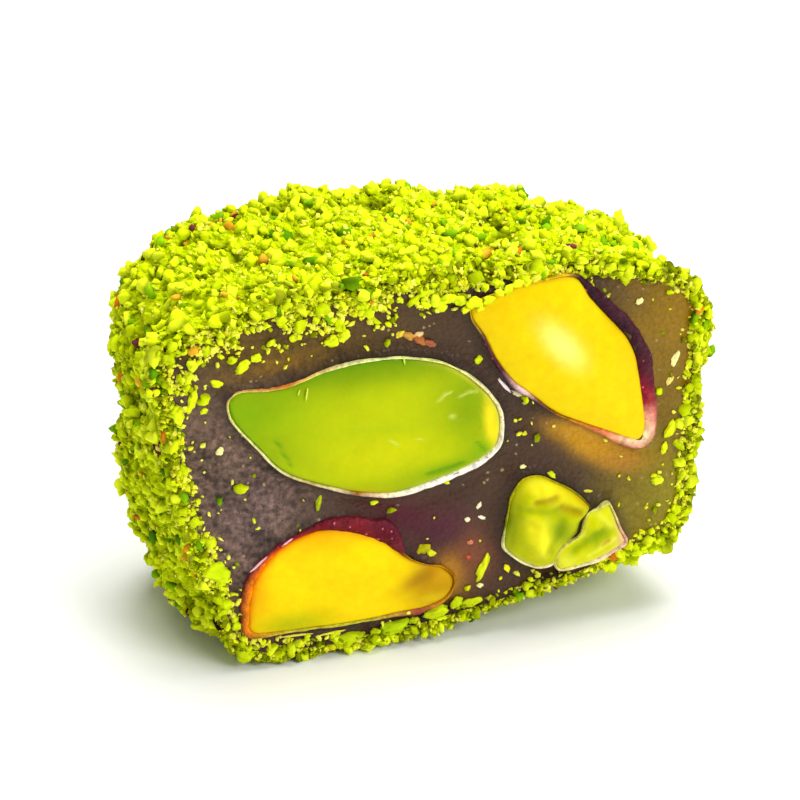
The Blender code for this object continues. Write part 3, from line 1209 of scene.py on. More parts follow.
# The yellow kernel under the top edge, with a purple skin down its right side
PLUM, RIDGE = (48, 10, 24), (80, 38, 50)
UPPER = Kernel(
    name="kernel_upper",
    node="kernel_upper",
    slot="kernel_yellow",
    corners=[
        (0.14, 0.99), (-0.2, 0.99), (-0.6, 0.94), (-0.94, 0.85), (-0.985, 0.70), (-0.85, 0.48),
        (-0.72, 0.21), (-0.53, -0.06), (-0.36, -0.21), (-0.04, -0.49), (0.28, -0.66), (0.60, -0.81),
        (0.86, -0.93), (0.96, -0.93), (1.0, -0.80), (0.98, -0.60), (0.94, -0.35), (0.90, -0.14),
        (0.86, 0.03), (0.77, 0.22), (0.67, 0.35), (0.51, 0.53), (0.34, 0.73),
    ],
    look=CutLook.SWOLLEN,
    proud=0.22,
    dome=0.62,
    base=(238, 208, 0),
    washes=[
        Wash(-0.6, 0.75, 0.5, 0.3, (236, 198, 0), 0.7, tilt=-20.0),
        # painted highlight on the swell of the kernel
        Wash(0.0, 0.29, 0.32, 0.14, (255, 250, 120), 0.95, tilt=-48.0, edge=1.3),
        Wash(0.75, 0.0, 0.2, 0.5, (230, 190, 0), 0.4, tilt=15.0),
        Wash(0.7, -0.6, 0.3, 0.2, (240, 206, 0), 0.6),
    ],
    edge=[
        Rim(-170, 0.14, (236, 190, 0)), Rim(-120, 0.14, (232, 186, 0)), Rim(-70, 0.2, (216, 164, 0)),
        Rim(-50, 0.14, (236, 196, 0)), Rim(-10, 0.18, (214, 170, 0)), Rim(40, 0.2, (214, 172, 0)),
        Rim(90, 0.1, (238, 206, 0)), Rim(150, 0.1, (238, 204, 0)),
    ],
    skin=[
        # the pale pink of the first three places is a painted highlight along the skin's left edge
        Rim(-166, 0.3, (206, 160, 160), (84, 44, 60)), Rim(-152, 0.36, (244, 214, 206), (130, 80, 96)),
        Rim(-136, 0.32, (226, 180, 170), (110, 60, 76)), Rim(-120, 0.2, (120, 70, 60), (60, 30, 40)),
        Rim(-100, 0.14, (120, 76, 30), (80, 40, 40)), Rim(-80, 0.12, (190, 130, 20), (150, 96, 20)),
        Rim(-66, 0.25, (206, 120, 50), (190, 100, 50)), Rim(-59, 0.36, (226, 130, 80), (180, 90, 60)),
        Rim(-52, 0.55, (248, 200, 156), (196, 96, 84)), Rim(-45, 0.7, (250, 222, 170), (200, 90, 90)),
        Rim(-38, 0.75, (236, 160, 130), (190, 70, 80)), Rim(-32, 0.8, (156, 36, 44), (150, 60, 60)),
        Rim(-24, 0.85, (140, 14, 44), (96, 34, 46)), Rim(-14, 0.95, (86, 14, 32), RIDGE),
        Rim(4, 0.8, PLUM, RIDGE), Rim(30, 0.75, (42, 8, 22), RIDGE), Rim(55, 0.7, PLUM, (66, 30, 44)),
        Rim(70, 0.55, (38, 10, 22), (60, 26, 40)), Rim(80, 0.22, (60, 26, 42)),
        Rim(88, 0.08, (190, 150, 20)), Rim(112, 0.06, (236, 204, 6)), Rim(140, 0.06, (232, 196, 10)),
        Rim(152, 0.2, (110, 50, 60), (60, 26, 44)), Rim(176, 0.26, (96, 40, 60), (50, 22, 40)),
    ],
    skin_lift=0.08,
)


# The orange-yellow kernel low on the left, with a dark red skin over its top
WINE, DUSK = (98, 10, 24), (78, 22, 40)
LOWER = Kernel(
    name="kernel_lower",
    node="kernel_lower",
    slot="kernel_yellow",
    corners=[
        (1.0, -0.42), (0.88, -0.12), (0.72, -0.02), (0.576, 0.12), (0.434, 0.34), (0.291, 0.60),
        (0.078, 0.82), (-0.206, 1.0), (-0.40, 1.0), (-0.65, 0.84), (-0.85, 0.53), (-0.98, 0.16),
        (-1.03, -0.21), (-1.05, -0.6), (-1.04, -0.88), (-0.92, -0.98), (-0.52, -1.0), (-0.166, -1.02),
        (0.19, -1.0), (0.437, -0.96), (0.72, -0.93), (0.93, -0.77),
    ],
    look=CutLook.SWOLLEN,
    proud=0.12,
    dome=0.4,
    base=(250, 216, 0),
    washes=[
        Wash(-0.2, 0.95, 0.66, 0.36, (248, 178, 0), 0.9), Wash(-0.97, 0.0, 0.12, 0.8, (246, 176, 0), 0.8),
        Wash(-0.62, -0.85, 0.36, 0.3, (184, 188, 0), 0.9, tilt=8.0),
        Wash(0.25, -0.1, 0.3, 0.5, (240, 208, 0), 0.8),
        Wash(0.85, -0.4, 0.34, 0.8, (190, 142, 4), 0.95, edge=1.6),
        Wash(0.66, -0.25, 0.14, 0.3, (150, 100, 8), 0.7, tilt=-40.0),
        Wash(0.93, -0.2, 0.14, 0.22, (214, 160, 10), 0.7),
        Wash(0.78, -0.75, 0.16, 0.12, (226, 196, 20), 0.7),
    ],
    edge=[
        Rim(-175, 0.34, (244, 148, 0)), Rim(-150, 0.2, (226, 180, 10)), Rim(-90, 0.12, (210, 200, 10)),
        Rim(-30, 0.12, (196, 146, 10)), Rim(0, 0.25, (196, 142, 8)), Rim(40, 0.2, (226, 160, 0)),
        Rim(90, 0.3, (244, 160, 0)), Rim(140, 0.32, (244, 146, 0)),
    ],
    skin=[
        Rim(-168, 0.5, (240, 136, 0), (126, 38, 34)), Rim(-154, 0.4, (220, 130, 10), (116, 50, 30)),
        Rim(-140, 0.14, (206, 196, 50), (200, 190, 90)), Rim(-80, 0.1, (206, 206, 60), (150, 120, 40)),
        Rim(-50, 0.2, (206, 170, 60), (100, 40, 40)), Rim(-38, 0.4, (150, 60, 50), (96, 30, 40)),
        Rim(-24, 0.12, (206, 150, 16), (160, 96, 36)), Rim(-14, 0.03, (206, 150, 8)),
        Rim(7, 0.03, (206, 150, 8)), Rim(14, 0.15, (140, 70, 30), (100, 40, 40)),
        Rim(20, 0.5, (110, 30, 36), (80, 26, 40)), Rim(40, 1.0, WINE, (96, 26, 44)),
        Rim(58, 1.15, WINE, (104, 28, 46)), Rim(90, 0.9, (112, 14, 20), (122, 30, 40)),
        Rim(112, 0.6, (90, 8, 20), (116, 26, 40)), Rim(126, 0.32, (150, 24, 20), DUSK),
        Rim(146, 0.26, (186, 50, 16), (110, 26, 44)), Rim(160, 0.36, (232, 106, 4), (112, 26, 44)),
        Rim(176, 0.5, (240, 126, 0), (120, 32, 40)),
    ],
    skin_lift=0.1,
)


# The small kernel at the lower right, of which this lobe is still whole
SHADOW, GOLD = (150, 106, 6), (246, 232, 30)
CORNER = Kernel(
    name="kernel_corner",
    node="kernel_corner",
    slot="kernel_green",
    corners=[
        (0.40, 0.11), (0.35, 0.25), (0.11, 0.56), (-0.14, 0.78), (-0.43, 0.98), (-0.65, 0.98),
        (-0.77, 0.86), (-0.87, 0.55), (-0.92, 0.16), (-0.96, -0.2), (-0.95, -0.48), (-0.80, -0.70),
        (-0.60, -0.90), (-0.38, -1.02), (-0.17, -0.98), (-0.134, -0.83), (0.0, -0.59), (0.19, -0.36),
        (0.26, -0.10),
    ],
    look=CutLook.BROKEN,
    proud=0.42,
    dome=0.85,
    base=(194, 200, 0),
    washes=[
        Wash(-0.35, 0.78, 0.5, 0.22, GOLD, 0.9, tilt=-28.0, edge=1.3),
        Wash(0.1, 0.42, 0.3, 0.14, (232, 214, 20), 0.8, tilt=-35.0),
        # painted shade down the left side of the lobe
        Wash(-0.84, 0.0, 0.24, 0.95, (120, 134, 0), 0.8),
        Wash(-0.45, -0.86, 0.5, 0.2, (150, 160, 0), 0.6),
        # painted highlight down the middle of the lobe
        Wash(-0.47, -0.2, 0.2, 0.55, (255, 246, 30), 1.0, tilt=8.0),
        Wash(-0.1, -0.15, 0.2, 0.4, (122, 146, 0), 0.8, tilt=25.0),
        Wash(-0.7, -0.5, 0.16, 0.3, (186, 196, 0), 0.6),
    ],
    edge=[
        Rim(-150, 0.2, (190, 200, 30)), Rim(-90, 0.2, (220, 216, 90)), Rim(-30, 0.3, (84, 100, 2)),
        Rim(20, 0.25, (190, 160, 6)), Rim(90, 0.2, (226, 214, 20)), Rim(170, 0.3, (130, 150, 4)),
    ],
    grooves=[
        Groove((-0.5, 0.52), (-0.2, 0.55), 0.22, 0.2, SHADOW, 0.6),
        Groove((-0.10, 0.33), (0.22, 0.12), 0.24, 0.24, SHADOW, 0.6),
        Groove((-0.78, 0.40), (-0.2, 0.30), 0.3, 0.18, (150, 166, 2), 0.7),
        Groove((-0.47, 0.1), (-0.40, -0.6), 0.35, -0.16, (236, 230, 50), 0.3),
        Groove((-0.12, 0.05), (-0.28, -0.6), 0.35, 0.14, (110, 140, 0), 0.4),
    ],
    skin=[
        Rim(-180, 0.12, (170, 180, 20)), Rim(-150, 0.2, (240, 232, 170)),
        Rim(-90, 0.24, (246, 236, 196), (230, 190, 150)), Rim(-60, 0.12, (200, 196, 60)),
        Rim(-20, 0.08, (80, 84, 10)), Rim(40, 0.08, (150, 140, 20)), Rim(120, 0.06, (200, 190, 20)),
    ],
    skin_lift=-0.1,
)


# The flat-faced chip that has split off the small kernel
BRIGHT = (232, 234, 70)
CHIP = Kernel(
    name="kernel_corner_chip",
    node="kernel_corner",
    slot="kernel_green",
    corners=[
        (0.89, -0.39), (0.79, -0.04), (0.71, 0.15), (0.55, 0.08), (0.41, 0.04), (0.34, -0.12),
        (0.25, -0.46), (0.03, -0.63), (-0.11, -0.83), (-0.11, -1.05), (-0.02, -1.14), (0.26, -1.11),
        (0.55, -1.04), (0.84, -0.88), (1.0, -0.74), (0.97, -0.6),
    ],
    look=CutLook.BROKEN,
    proud=0.4,
    dome=0.1,
    base=(214, 214, 4),
    washes=[
        Wash(0.55, -0.5, 0.3, 0.24, (132, 160, 4), 0.8, tilt=30.0),
        Wash(0.05, -0.95, 0.14, 0.14, BRIGHT, 0.7), Wash(0.95, -0.65, 0.1, 0.12, (236, 180, 140), 0.8),
    ],
    edge=[
        Rim(-160, 0.25, BRIGHT), Rim(-90, 0.2, (226, 216, 80)), Rim(-20, 0.2, (232, 196, 130)),
        Rim(60, 0.2, (206, 214, 50)), Rim(120, 0.2, BRIGHT),
    ],
    grooves=[
        Groove((0.15, -0.75), (0.6, -0.4), 0.3, 0.16, (130, 158, 2), 0.6),
        Groove((0.4, -0.9), (0.8, -0.62), 0.2, -0.1, BRIGHT, 0.6),
        Groove((0.62, -0.72), (0.72, -0.62), 0.1, 0.06, (206, 120, 60), 0.6),
        Groove((0.55, -0.02), (0.75, -0.3), 0.2, -0.08, BRIGHT, 0.5),
    ],
    skin=[
        Rim(-150, 0.14, (226, 222, 120)), Rim(-90, 0.22, (246, 238, 200), (214, 190, 120)),
        Rim(-40, 0.26, (244, 214, 190), (222, 150, 120)), Rim(-5, 0.2, (232, 180, 160), (226, 140, 120)),
        Rim(60, 0.12, (232, 226, 130)), Rim(150, 0.08, (220, 224, 80)),
    ],
    skin_lift=0.04,
)


# -------- flakes on the cut


@dataclass(frozen=True)
class Flake:
    """One bit of nut or skin that the knife left on the cut; a few thin pale ones are painted highlights
    along the kernels' skins.

    Attributes:
        across: Its middle, in millimetres from the left end of the jelly.
        up: Its middle's height over the table.
        long: Its length.
        wide: Its width.
        tilt: How far it is turned, in degrees.
        colour: Its colour.
        thick: How far it stands out, as a share of its width.
        front: How far its middle lies in front of the cut, in millimetres.
    """

    across: float
    up: float
    long: float
    wide: float
    tilt: float
    colour: Shade
    thick: float = 0.6
    front: float = 0.02


LIME_BIT, CREAM_BIT = (214, 228, 24), (236, 230, 150)
LEMON_BIT, SCRATCH = (222, 228, 30), (206, 222, 70)
FLAKES = (
    Flake(2.45, 6.75, 1.5, 1.35, 20, (196, 220, 16), 0.6),
    Flake(2.55, 5.4, 1.2, 0.85, 5, (206, 224, 20), 0.6),
    Flake(10.1, 0.95, 2.3, 0.95, 6, (186, 206, 16), 0.7, 0.3),
    Flake(11.75, 1.1, 0.8, 0.7, 50, (186, 204, 16), 0.7, 0.3),
    Flake(12.9, 1.4, 1.8, 0.85, 12, (172, 200, 16), 0.7, 0.3),
    Flake(14.15, 1.5, 0.7, 0.55, -30, (190, 206, 20), 0.7, 0.2),
    Flake(15.3, 2.05, 1.6, 0.75, 20, (188, 206, 18), 0.7, 0.3),
    Flake(16.6, 2.5, 0.9, 0.6, 40, (186, 204, 20), 0.7, 0.25),
    Flake(17.6, 2.2, 1.3, 0.6, 14, (190, 206, 20), 0.8),
    Flake(7.2, 1.95, 2.4, 0.16, -1, (230, 220, 80), 0.9),
    Flake(9.0, 1.75, 1.6, 0.16, 4, (226, 222, 60), 0.9), Flake(6.6, 1.0, 2.2, 0.2, 2, (226, 224, 70), 0.9),
    Flake(1.15, 7.2, 0.8, 0.55, 60, (226, 232, 40)), Flake(1.2, 18.1, 1.3, 0.55, 75, LIME_BIT),
    Flake(1.9, 17.3, 0.5, 0.35, 20, LIME_BIT), Flake(2.7, 14.75, 0.5, 0.4, 60, CREAM_BIT),
    Flake(4.1, 19.9, 1.0, 0.6, 40, LIME_BIT), Flake(4.9, 20.3, 0.6, 0.5, 0, LIME_BIT),
    Flake(2.6, 19.0, 0.8, 0.5, -30, LIME_BIT), Flake(9.3, 20.6, 0.8, 0.7, 15, LIME_BIT),
    Flake(10.0, 20.9, 0.8, 0.6, 70, (224, 236, 40)), Flake(9.7, 21.4, 0.7, 0.5, -20, LIME_BIT),
    Flake(7.1, 21.2, 0.6, 0.5, 10, LIME_BIT), Flake(13.75, 20.3, 0.7, 0.45, -25, (196, 146, 66), 0.7),
    Flake(14.35, 19.95, 0.8, 0.5, -34, (172, 104, 56), 0.7),
    Flake(14.95, 19.65, 0.75, 0.42, -28, (160, 92, 62), 0.7),
    Flake(14.3, 20.3, 0.6, 0.3, 10, (222, 190, 130), 0.6), Flake(13.2, 20.5, 0.5, 0.4, 30, (222, 200, 60)),
    Flake(14.6, 6.35, 0.9, 0.6, 35, (176, 170, 20)), Flake(15.1, 6.0, 0.6, 0.4, -40, (206, 210, 40)),
    Flake(18.25, 4.5, 1.75, 0.5, 68, (206, 216, 30), 0.7), Flake(18.05, 3.3, 0.4, 0.3, 0, CREAM_BIT),
    Flake(8.45, 10.5, 1.2, 0.3, 80, (160, 176, 20)), Flake(11.7, 9.9, 0.5, 0.3, 20, LIME_BIT),
    Flake(17.9, 8.75, 0.45, 0.25, 50, (246, 232, 190)), Flake(18.1, 7.9, 0.5, 0.22, -30, (246, 236, 200)),
    Flake(17.2, 8.0, 0.35, 0.3, 10, (240, 226, 180)), Flake(17.4, 6.4, 0.35, 0.3, 10, (206, 120, 90)),
    Flake(17.3, 5.4, 0.3, 0.3, 10, (190, 90, 70)),
    # a raised line of skin, painted pale pink as a highlight along the upper kernel's left edge
    Flake(19.35, 16.35, 1.3, 0.22, -52, (240, 214, 216), 0.8),
    Flake(20.1, 15.75, 0.7, 0.3, -30, (214, 200, 160)), Flake(20.6, 15.1, 0.35, 0.25, 20, (200, 206, 90)),
    Flake(20.5, 10.95, 0.35, 0.28, 0, CREAM_BIT), Flake(24.5, 8.65, 0.6, 0.22, -10, (206, 200, 60)),
    Flake(28.7, 8.8, 0.75, 0.6, 15, (206, 224, 30)), Flake(27.3, 20.6, 0.5, 0.4, 30, CREAM_BIT),
    Flake(29.6, 16.6, 0.9, 0.4, 70, CREAM_BIT), Flake(29.3, 15.2, 0.6, 0.3, 50, (236, 214, 110)),
    Flake(29.4, 12.0, 1.2, 0.6, 60, LIME_BIT), Flake(29.1, 10.8, 0.8, 0.4, 80, LIME_BIT),
    Flake(15.5, 14.2, 0.2, 0.14, 20, CREAM_BIT), Flake(15.9, 22.5, 0.9, 0.6, 10, LIME_BIT, 0.7, 0.3),
    Flake(16.6, 22.3, 0.8, 0.6, -20, (200, 216, 20), 0.7, 0.35),
    Flake(16.9, 21.8, 0.6, 0.45, 40, LEMON_BIT, 0.7, 0.3),
    Flake(17.3, 22.2, 0.9, 0.65, 15, LIME_BIT, 0.7, 0.4),
    Flake(17.7, 21.8, 0.5, 0.4, 70, LEMON_BIT, 0.7, 0.4),
    Flake(18.2, 22.2, 0.7, 0.5, 20, LIME_BIT, 0.7, 0.4),
    Flake(18.8, 22.6, 0.6, 0.4, -15, LEMON_BIT, 0.7, 0.4),
    Flake(19.35, 22.7, 0.7, 0.45, 60, LIME_BIT, 0.7, 0.4),
    Flake(19.9, 22.9, 0.7, 0.45, 10, LEMON_BIT, 0.7, 0.4),
    Flake(20.5, 22.95, 0.6, 0.5, -40, LIME_BIT, 0.7, 0.4),
    Flake(21.1, 23.0, 0.8, 0.45, 15, (226, 226, 60), 0.7, 0.4),
    Flake(21.7, 23.2, 0.7, 0.5, 70, LEMON_BIT, 0.7, 0.45),
    Flake(22.25, 23.3, 0.8, 0.6, -5, LIME_BIT, 0.7, 0.5),
    Flake(22.9, 23.35, 0.7, 0.6, 30, LEMON_BIT, 0.7, 0.5),
    Flake(23.5, 23.35, 0.7, 0.55, -30, LIME_BIT, 0.7, 0.5),
    # painted highlights: two thin pale pink lines along the lower kernel's skin
    Flake(4.75, 7.15, 1.2, 0.14, 42, (236, 176, 190), 0.5, 0.3),
    Flake(6.45, 8.4, 0.8, 0.12, 34, (232, 170, 184), 0.5, 0.3),
    Flake(7.7, 17.75, 0.75, 0.12, 82, SCRATCH, 0.6, 0.32),
    Flake(7.25, 17.85, 0.4, 0.1, 75, SCRATCH, 0.6, 0.3),
    Flake(13.35, 19.0, 0.5, 0.1, -80, SCRATCH, 0.6, 0.28),
)


class FlakeMaker:
    """Lays the named flakes on the cut as one joined mesh."""

    def __init__(self, jelly: "Jelly") -> None:
        """Starts on the cut.

        Args:
            jelly: The jelly that the flakes lie on.
        """
        self.jelly = jelly
        self.ball, self.faces = make_ball(3)

    def shape(self, flake: Flake, order: int) -> tuple[Points, Points]:
        """One flake's points and their colours.

        Args:
            flake: The flake.
            order: Its place in the list, which picks its lumps.

        Returns:
            The points in metres, and the colours.
        """
        lumps = 1.0 + 0.42 * noise_at(self.ball, 0.34, order) + 0.22 * noise_at(self.ball, 0.15, order)
        ball = self.ball * lumps[:, None]
        turn = math.radians(flake.tilt)
        long, wide = ball[:, 0] * flake.long, ball[:, 2] * flake.wide
        across = flake.across + long * math.cos(turn) - wide * math.sin(turn)
        up = flake.up + long * math.sin(turn) + wide * math.cos(turn)
        foot = self.jelly.surface(np.array([[flake.across, flake.up]]))[0]
        out = -ball[:, 1] * flake.wide * flake.thick
        points = self.jelly.shell.world(np.stack([across, up], 1), -(foot + flake.front + out))
        # painted light on the front and top of each flake and on its lumps, painted shade at its back and
        # in its dips
        light = 0.6 + 0.55 * smooth_step(-0.3, 0.35, -ball[:, 1] + 0.3 * ball[:, 2])
        light *= 1.0 + 0.5 * (lumps - 1.0)
        colours = np.array(tint(flake.colour))[None] * light[:, None]
        colours[:, 3] = 1.0
        return points, np.clip(colours, 0.0, 1.0)

    def build(self, finish: Material) -> Piece:
        """Builds the piece.

        Args:
            finish: The flakes' material.

        Returns:
            The new piece.
        """
        shapes = [self.shape(flake, order) for order, flake in enumerate(FLAKES)]
        points = np.concatenate([shape[0] for shape in shapes])
        starts = np.arange(len(shapes)) * len(self.ball)
        faces = (self.faces[None] + starts[:, None, None]).reshape(-1, 3)
        piece = make_mesh("cut_flakes", points, [faces], finish)
        paint(piece, "tint", np.concatenate([shape[1] for shape in shapes]))
        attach(piece, ROOT)
        return piece


# -------- the jelly


@dataclass
class Jelly:
    """The starch jelly: one solid that fills the coat, with a pocket for each kernel.

    Attributes:
        shell: The coat's solid.
        kernels: The kernels set in the cut.
        spacing: How far apart the points of the cut are, in millimetres.
        around: How many points go round its sides.
        rows: How many rows run back along them.
    """

    shell: Shell
    kernels: list[Kernel]
    spacing: float = 0.17
    around: int = 420
    rows: int = 12

    # millimetres from here on, unless it says otherwise
    POCKET_GAP = 0.05  # clearance round each kernel
    COARSE = 4  # how many times wider the spacing is in a pocket
    SUNK = 0.5  # how far its hidden sides lie under the coat's inside
    LIP, LIP_STRAY, LIP_WIDE = 0.14, 0.12, 0.6  # the rise round each kernel
    DIP, DIP_AWAY, DIP_WIDE = 0.16, 1.2, 0.7  # the hollow outside that rise
    FALL, FALL_WIDE = 0.35, 0.45  # how far the cut falls back beside the coat
    HALO, HALO_WIDE = 0.6, 0.55  # the share of light lost round each kernel, and its reach

    BASE = (70, 48, 32)
    WASHES = (
        Wash(2.0, 9.0, 6.0, 12.0, (110, 88, 72), 0.9, edge=1.5),
        Wash(4.5, 10.0, 3.4, 4.0, (98, 78, 74), 0.8), Wash(6.0, 21.0, 8.0, 1.8, (90, 68, 8), 0.95),
        Wash(5.6, 19.6, 3.2, 0.6, (120, 86, 4), 0.8, tilt=9.0),
        Wash(29.5, 14.0, 4.4, 12.0, (122, 96, 16), 0.95, edge=1.6),
        Wash(29.8, 19.6, 2.6, 4.0, (146, 110, 0), 0.95), Wash(29.6, 7.2, 3.6, 3.8, (136, 124, 8), 0.95),
        # painted light let through the jelly from the kernels: the amber patches under the upper kernel and
        # at the right end of the lower one
        Wash(24.5, 12.0, 2.6, 1.1, (196, 142, 8), 0.95, tilt=-32.0, edge=1.3),
        Wash(26.6, 10.7, 1.6, 0.9, (170, 116, 20), 0.9, tilt=-20.0),
        Wash(16.6, 4.6, 1.1, 1.5, (176, 122, 16), 0.9), Wash(17.6, 5.6, 1.2, 1.7, (118, 62, 42), 0.8),
        Wash(13.4, 8.7, 2.2, 1.3, (86, 14, 34), 0.9, tilt=-24.0),
        Wash(15.6, 7.6, 1.6, 1.6, (76, 24, 42), 0.8), Wash(9.0, 1.6, 6.0, 0.5, (72, 44, 56), 0.8),
    )
    GLOWS = (  # where light comes through from a kernel, right up to its edge
        Wash(16.3, 4.3, 0.7, 1.1, (170, 116, 20), 0.9, edge=1.5),
        Wash(23.9, 12.5, 2.2, 0.7, (190, 136, 8), 0.8, tilt=-34.0, edge=1.4),
    )

    def build(self, finish: Material) -> Piece:
        """Builds the jelly.

        Args:
            finish: Its material.

        Returns:
            The new piece.
        """
        sides = self.shell.lines_back(self.around, Layer.INSIDE, self.rows)
        edge = self.shell.flat(sides[0])
        self.outline = Outline(edge)
        flat, triangles, rim = self.mesh_cut(edge)
        front = self.front_places(flat)
        front[rim] = sides[0]
        start = len(front)
        hidden = self.sunk(sides[1:])
        back = hidden[:-1].reshape(-1, 3)
        tip = hidden[-1, :1]
        points = np.concatenate([front, back, tip])
        spoke = np.arange(self.around)
        after = (spoke + 1) % self.around
        joint = np.stack([rim[spoke], rim[after], start + after, start + spoke], 1)
        last = start + (self.rows - 3) * self.around
        faces = [
            triangles,
            joint,
            ring_faces(self.rows - 2, self.around, start),
            cap_faces(last, self.around, len(points) - 1, True),
        ]
        piece = make_mesh("jelly_body", points, faces, finish)
        self.dress(piece, points)
        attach(piece, ROOT)
        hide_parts("jelly")
        return piece

    def sunk(self, sides: Points) -> Points:
        """The rows of its hidden sides moved in, so that none of them cuts through the coat.

        Args:
            sides: The rows on the coat's inside.

        Returns:
            The rows under it.
        """
        inward = np.array(self.shell.heart) - sides
        return sides + self.SUNK * MM * inward / np.linalg.norm(inward, axis=-1, keepdims=True)

    def mesh_cut(self, edge: Points) -> tuple[Points, Points, Points]:
        """Covers the cut with triangles that follow its edge and each kernel.

        Args:
            edge: The points round the cut.

        Returns:
            The points as across and up, the triangles, and which points are on the edge.
        """
        rng = np.random.default_rng(11)
        loops = [edge] + [kernel.outline.grown(self.POCKET_GAP) for kernel in self.kernels]
        borders = np.concatenate(loops)
        low, high = edge.min(0), edge.max(0)
        columns = np.arange(low[0], high[0], self.spacing)
        levels = np.arange(low[1], high[1], self.spacing)
        grid = np.stack(np.meshgrid(columns, levels), -1).reshape(-1, 2)
        grid += rng.uniform(-0.3, 0.3, grid.shape) * self.spacing
        keep = self.outline.gap(grid) < -0.6 * self.spacing
        for kernel in self.kernels:
            gap = kernel.outline.gap(grid)
            sparse = rng.random(len(grid)) < 1.0 / self.COARSE**2
            keep &= (gap > self.POCKET_GAP) | sparse
        grid = grid[keep]
        parts = np.array_split(grid, 40)
        near = [np.linalg.norm(part[:, None] - borders[None], axis=2).min(1) for part in parts]
        grid = grid[np.concatenate(near) > 0.55 * self.spacing]
        places = np.concatenate([borders, grid])
        edges, start = [], 0
        for loop in loops:
            count = len(loop)
            edges += [(start + i, start + (i + 1) % count) for i in range(count)]
            start += count
        found = geometry.delaunay_2d_cdt([Vector(p) for p in places], edges, [], 1, 1e-6)
        flat = np.array([tuple(p) for p in found[0]])
        triangles = np.array([face for face in found[2] if len(face) == 3])
        rim = np.zeros(len(edge), int)
        for index, origins in enumerate(found[3]):
            for origin in origins:
                if origin < len(edge):
                    rim[origin] = index
        return flat, triangles, rim

    def torn_at(self, flat: Points) -> Points:
        """How badly the knife tore the jelly at each place, from 0 to 1."""
        left = 1.0 - smooth_step(7.0, 11.0, flat[:, 0] + 0.25 * (14.0 - flat[:, 1]))
        low = 1.0 - smooth_step(14.5, 18.5, flat[:, 1])
        return left * (0.4 + 0.6 * low)

    def streaks_at(self, flat: Points, width: float, seed: int) -> Points:
        """Noise drawn out the way the knife went.

        Args:
            flat: across and up of each place.
            width: The width of a streak, in millimetres.
            seed: Picks another part of the same noise.

        Returns:
            A number from about -1 to 1 for each place.
        """
        along = (flat @ np.array([0.8, -0.6])) * 0.35
        cross = flat @ np.array([0.6, 0.8])
        return noise_at(in_space(np.stack([along, cross], 1)), width, seed)

    def surface(self, flat: Points) -> Points:
        """How far the jelly stands out of the cut plane at each place.

        Args:
            flat: across and up of each place.

        Returns:
            The height in millimetres.
        """
        solid = in_space(flat)
        torn = self.torn_at(flat)
        height = 0.16 * noise_at(solid, 7.0, 10) + 0.08 * noise_at(solid, 2.2, 11)
        height += torn * (0.13 * self.streaks_at(flat, 0.6, 12) + 0.14 * noise_at(solid, 0.4, 13))
        height += (1.0 - torn) * 0.03 * self.streaks_at(flat, 0.9, 14)
        for order, kernel in enumerate(self.kernels):
            gap = kernel.outline.gap(flat)
            lip = self.LIP + self.LIP_STRAY * noise_at(solid, 1.3, 20 + order)
            height += lip * np.exp(-((gap / self.LIP_WIDE) ** 2)) * (gap > 0.0)
            height -= self.DIP * np.exp(-(((gap - self.DIP_AWAY) / self.DIP_WIDE) ** 2))
        inward = -self.outline.gap(flat)
        return height - self.FALL * np.exp(-inward / self.FALL_WIDE)

    def front_places(self, flat: Points) -> Points:
        """The places in metres of points on the cut, with the pockets sunk into it."""
        depth = -self.surface(flat)
        for kernel in self.kernels:
            share = kernel.outline.share(flat)
            inside = kernel.outline.gap(flat) < self.POCKET_GAP * 0.5
            deep = kernel.deepest * np.sqrt(np.clip(1.0 - share**2, 0.0, 1.0))
            depth = np.where(inside, deep + 0.1, depth)
        return self.shell.world(flat, depth)

    def dress(self, piece: Piece, points: Points) -> None:
        """Paints the jelly's colour, with painted shade round each kernel and painted light let through
        from them, and its dullness.

        Args:
            piece: The jelly.
            points: Its points in metres.
        """
        flat = self.shell.flat(points)
        solid = in_space(flat)
        base = np.tile(np.array(tint(self.BASE)), (len(points), 1))
        drift = np.column_stack([noise_at(solid, 2.5, 30), noise_at(solid, 2.5, 31)])
        colours = washed(flat + 0.6 * drift, base, self.WASHES)
        # painted shade round each kernel
        for kernel in self.kernels:
            away = np.maximum(kernel.outline.gap(flat), 0.0)
            ring_shade = self.HALO * np.exp(-((away / self.HALO_WIDE) ** 2))
            colours[:, :3] *= (1.0 - ring_shade)[:, None]
        colours = washed(flat + 0.4 * drift, colours, self.GLOWS)
        torn = self.torn_at(flat)
        streak = 0.7 * self.streaks_at(flat, 0.7, 32) + 0.9 * noise_at(solid, 0.32, 33)
        light = 1.0 + torn * 0.95 * streak + 0.14 * self.streaks_at(flat, 1.6, 34)
        colours[:, :3] *= np.clip(light, 0.3, 2.2)[:, None]
        paint(piece, "tint", colours)
        glossy = smooth_step(22.0, 30.0, flat[:, 0])
        paint(piece, "dullness", 0.34 + 0.3 * torn - 0.1 * glossy)


# -------- the coat


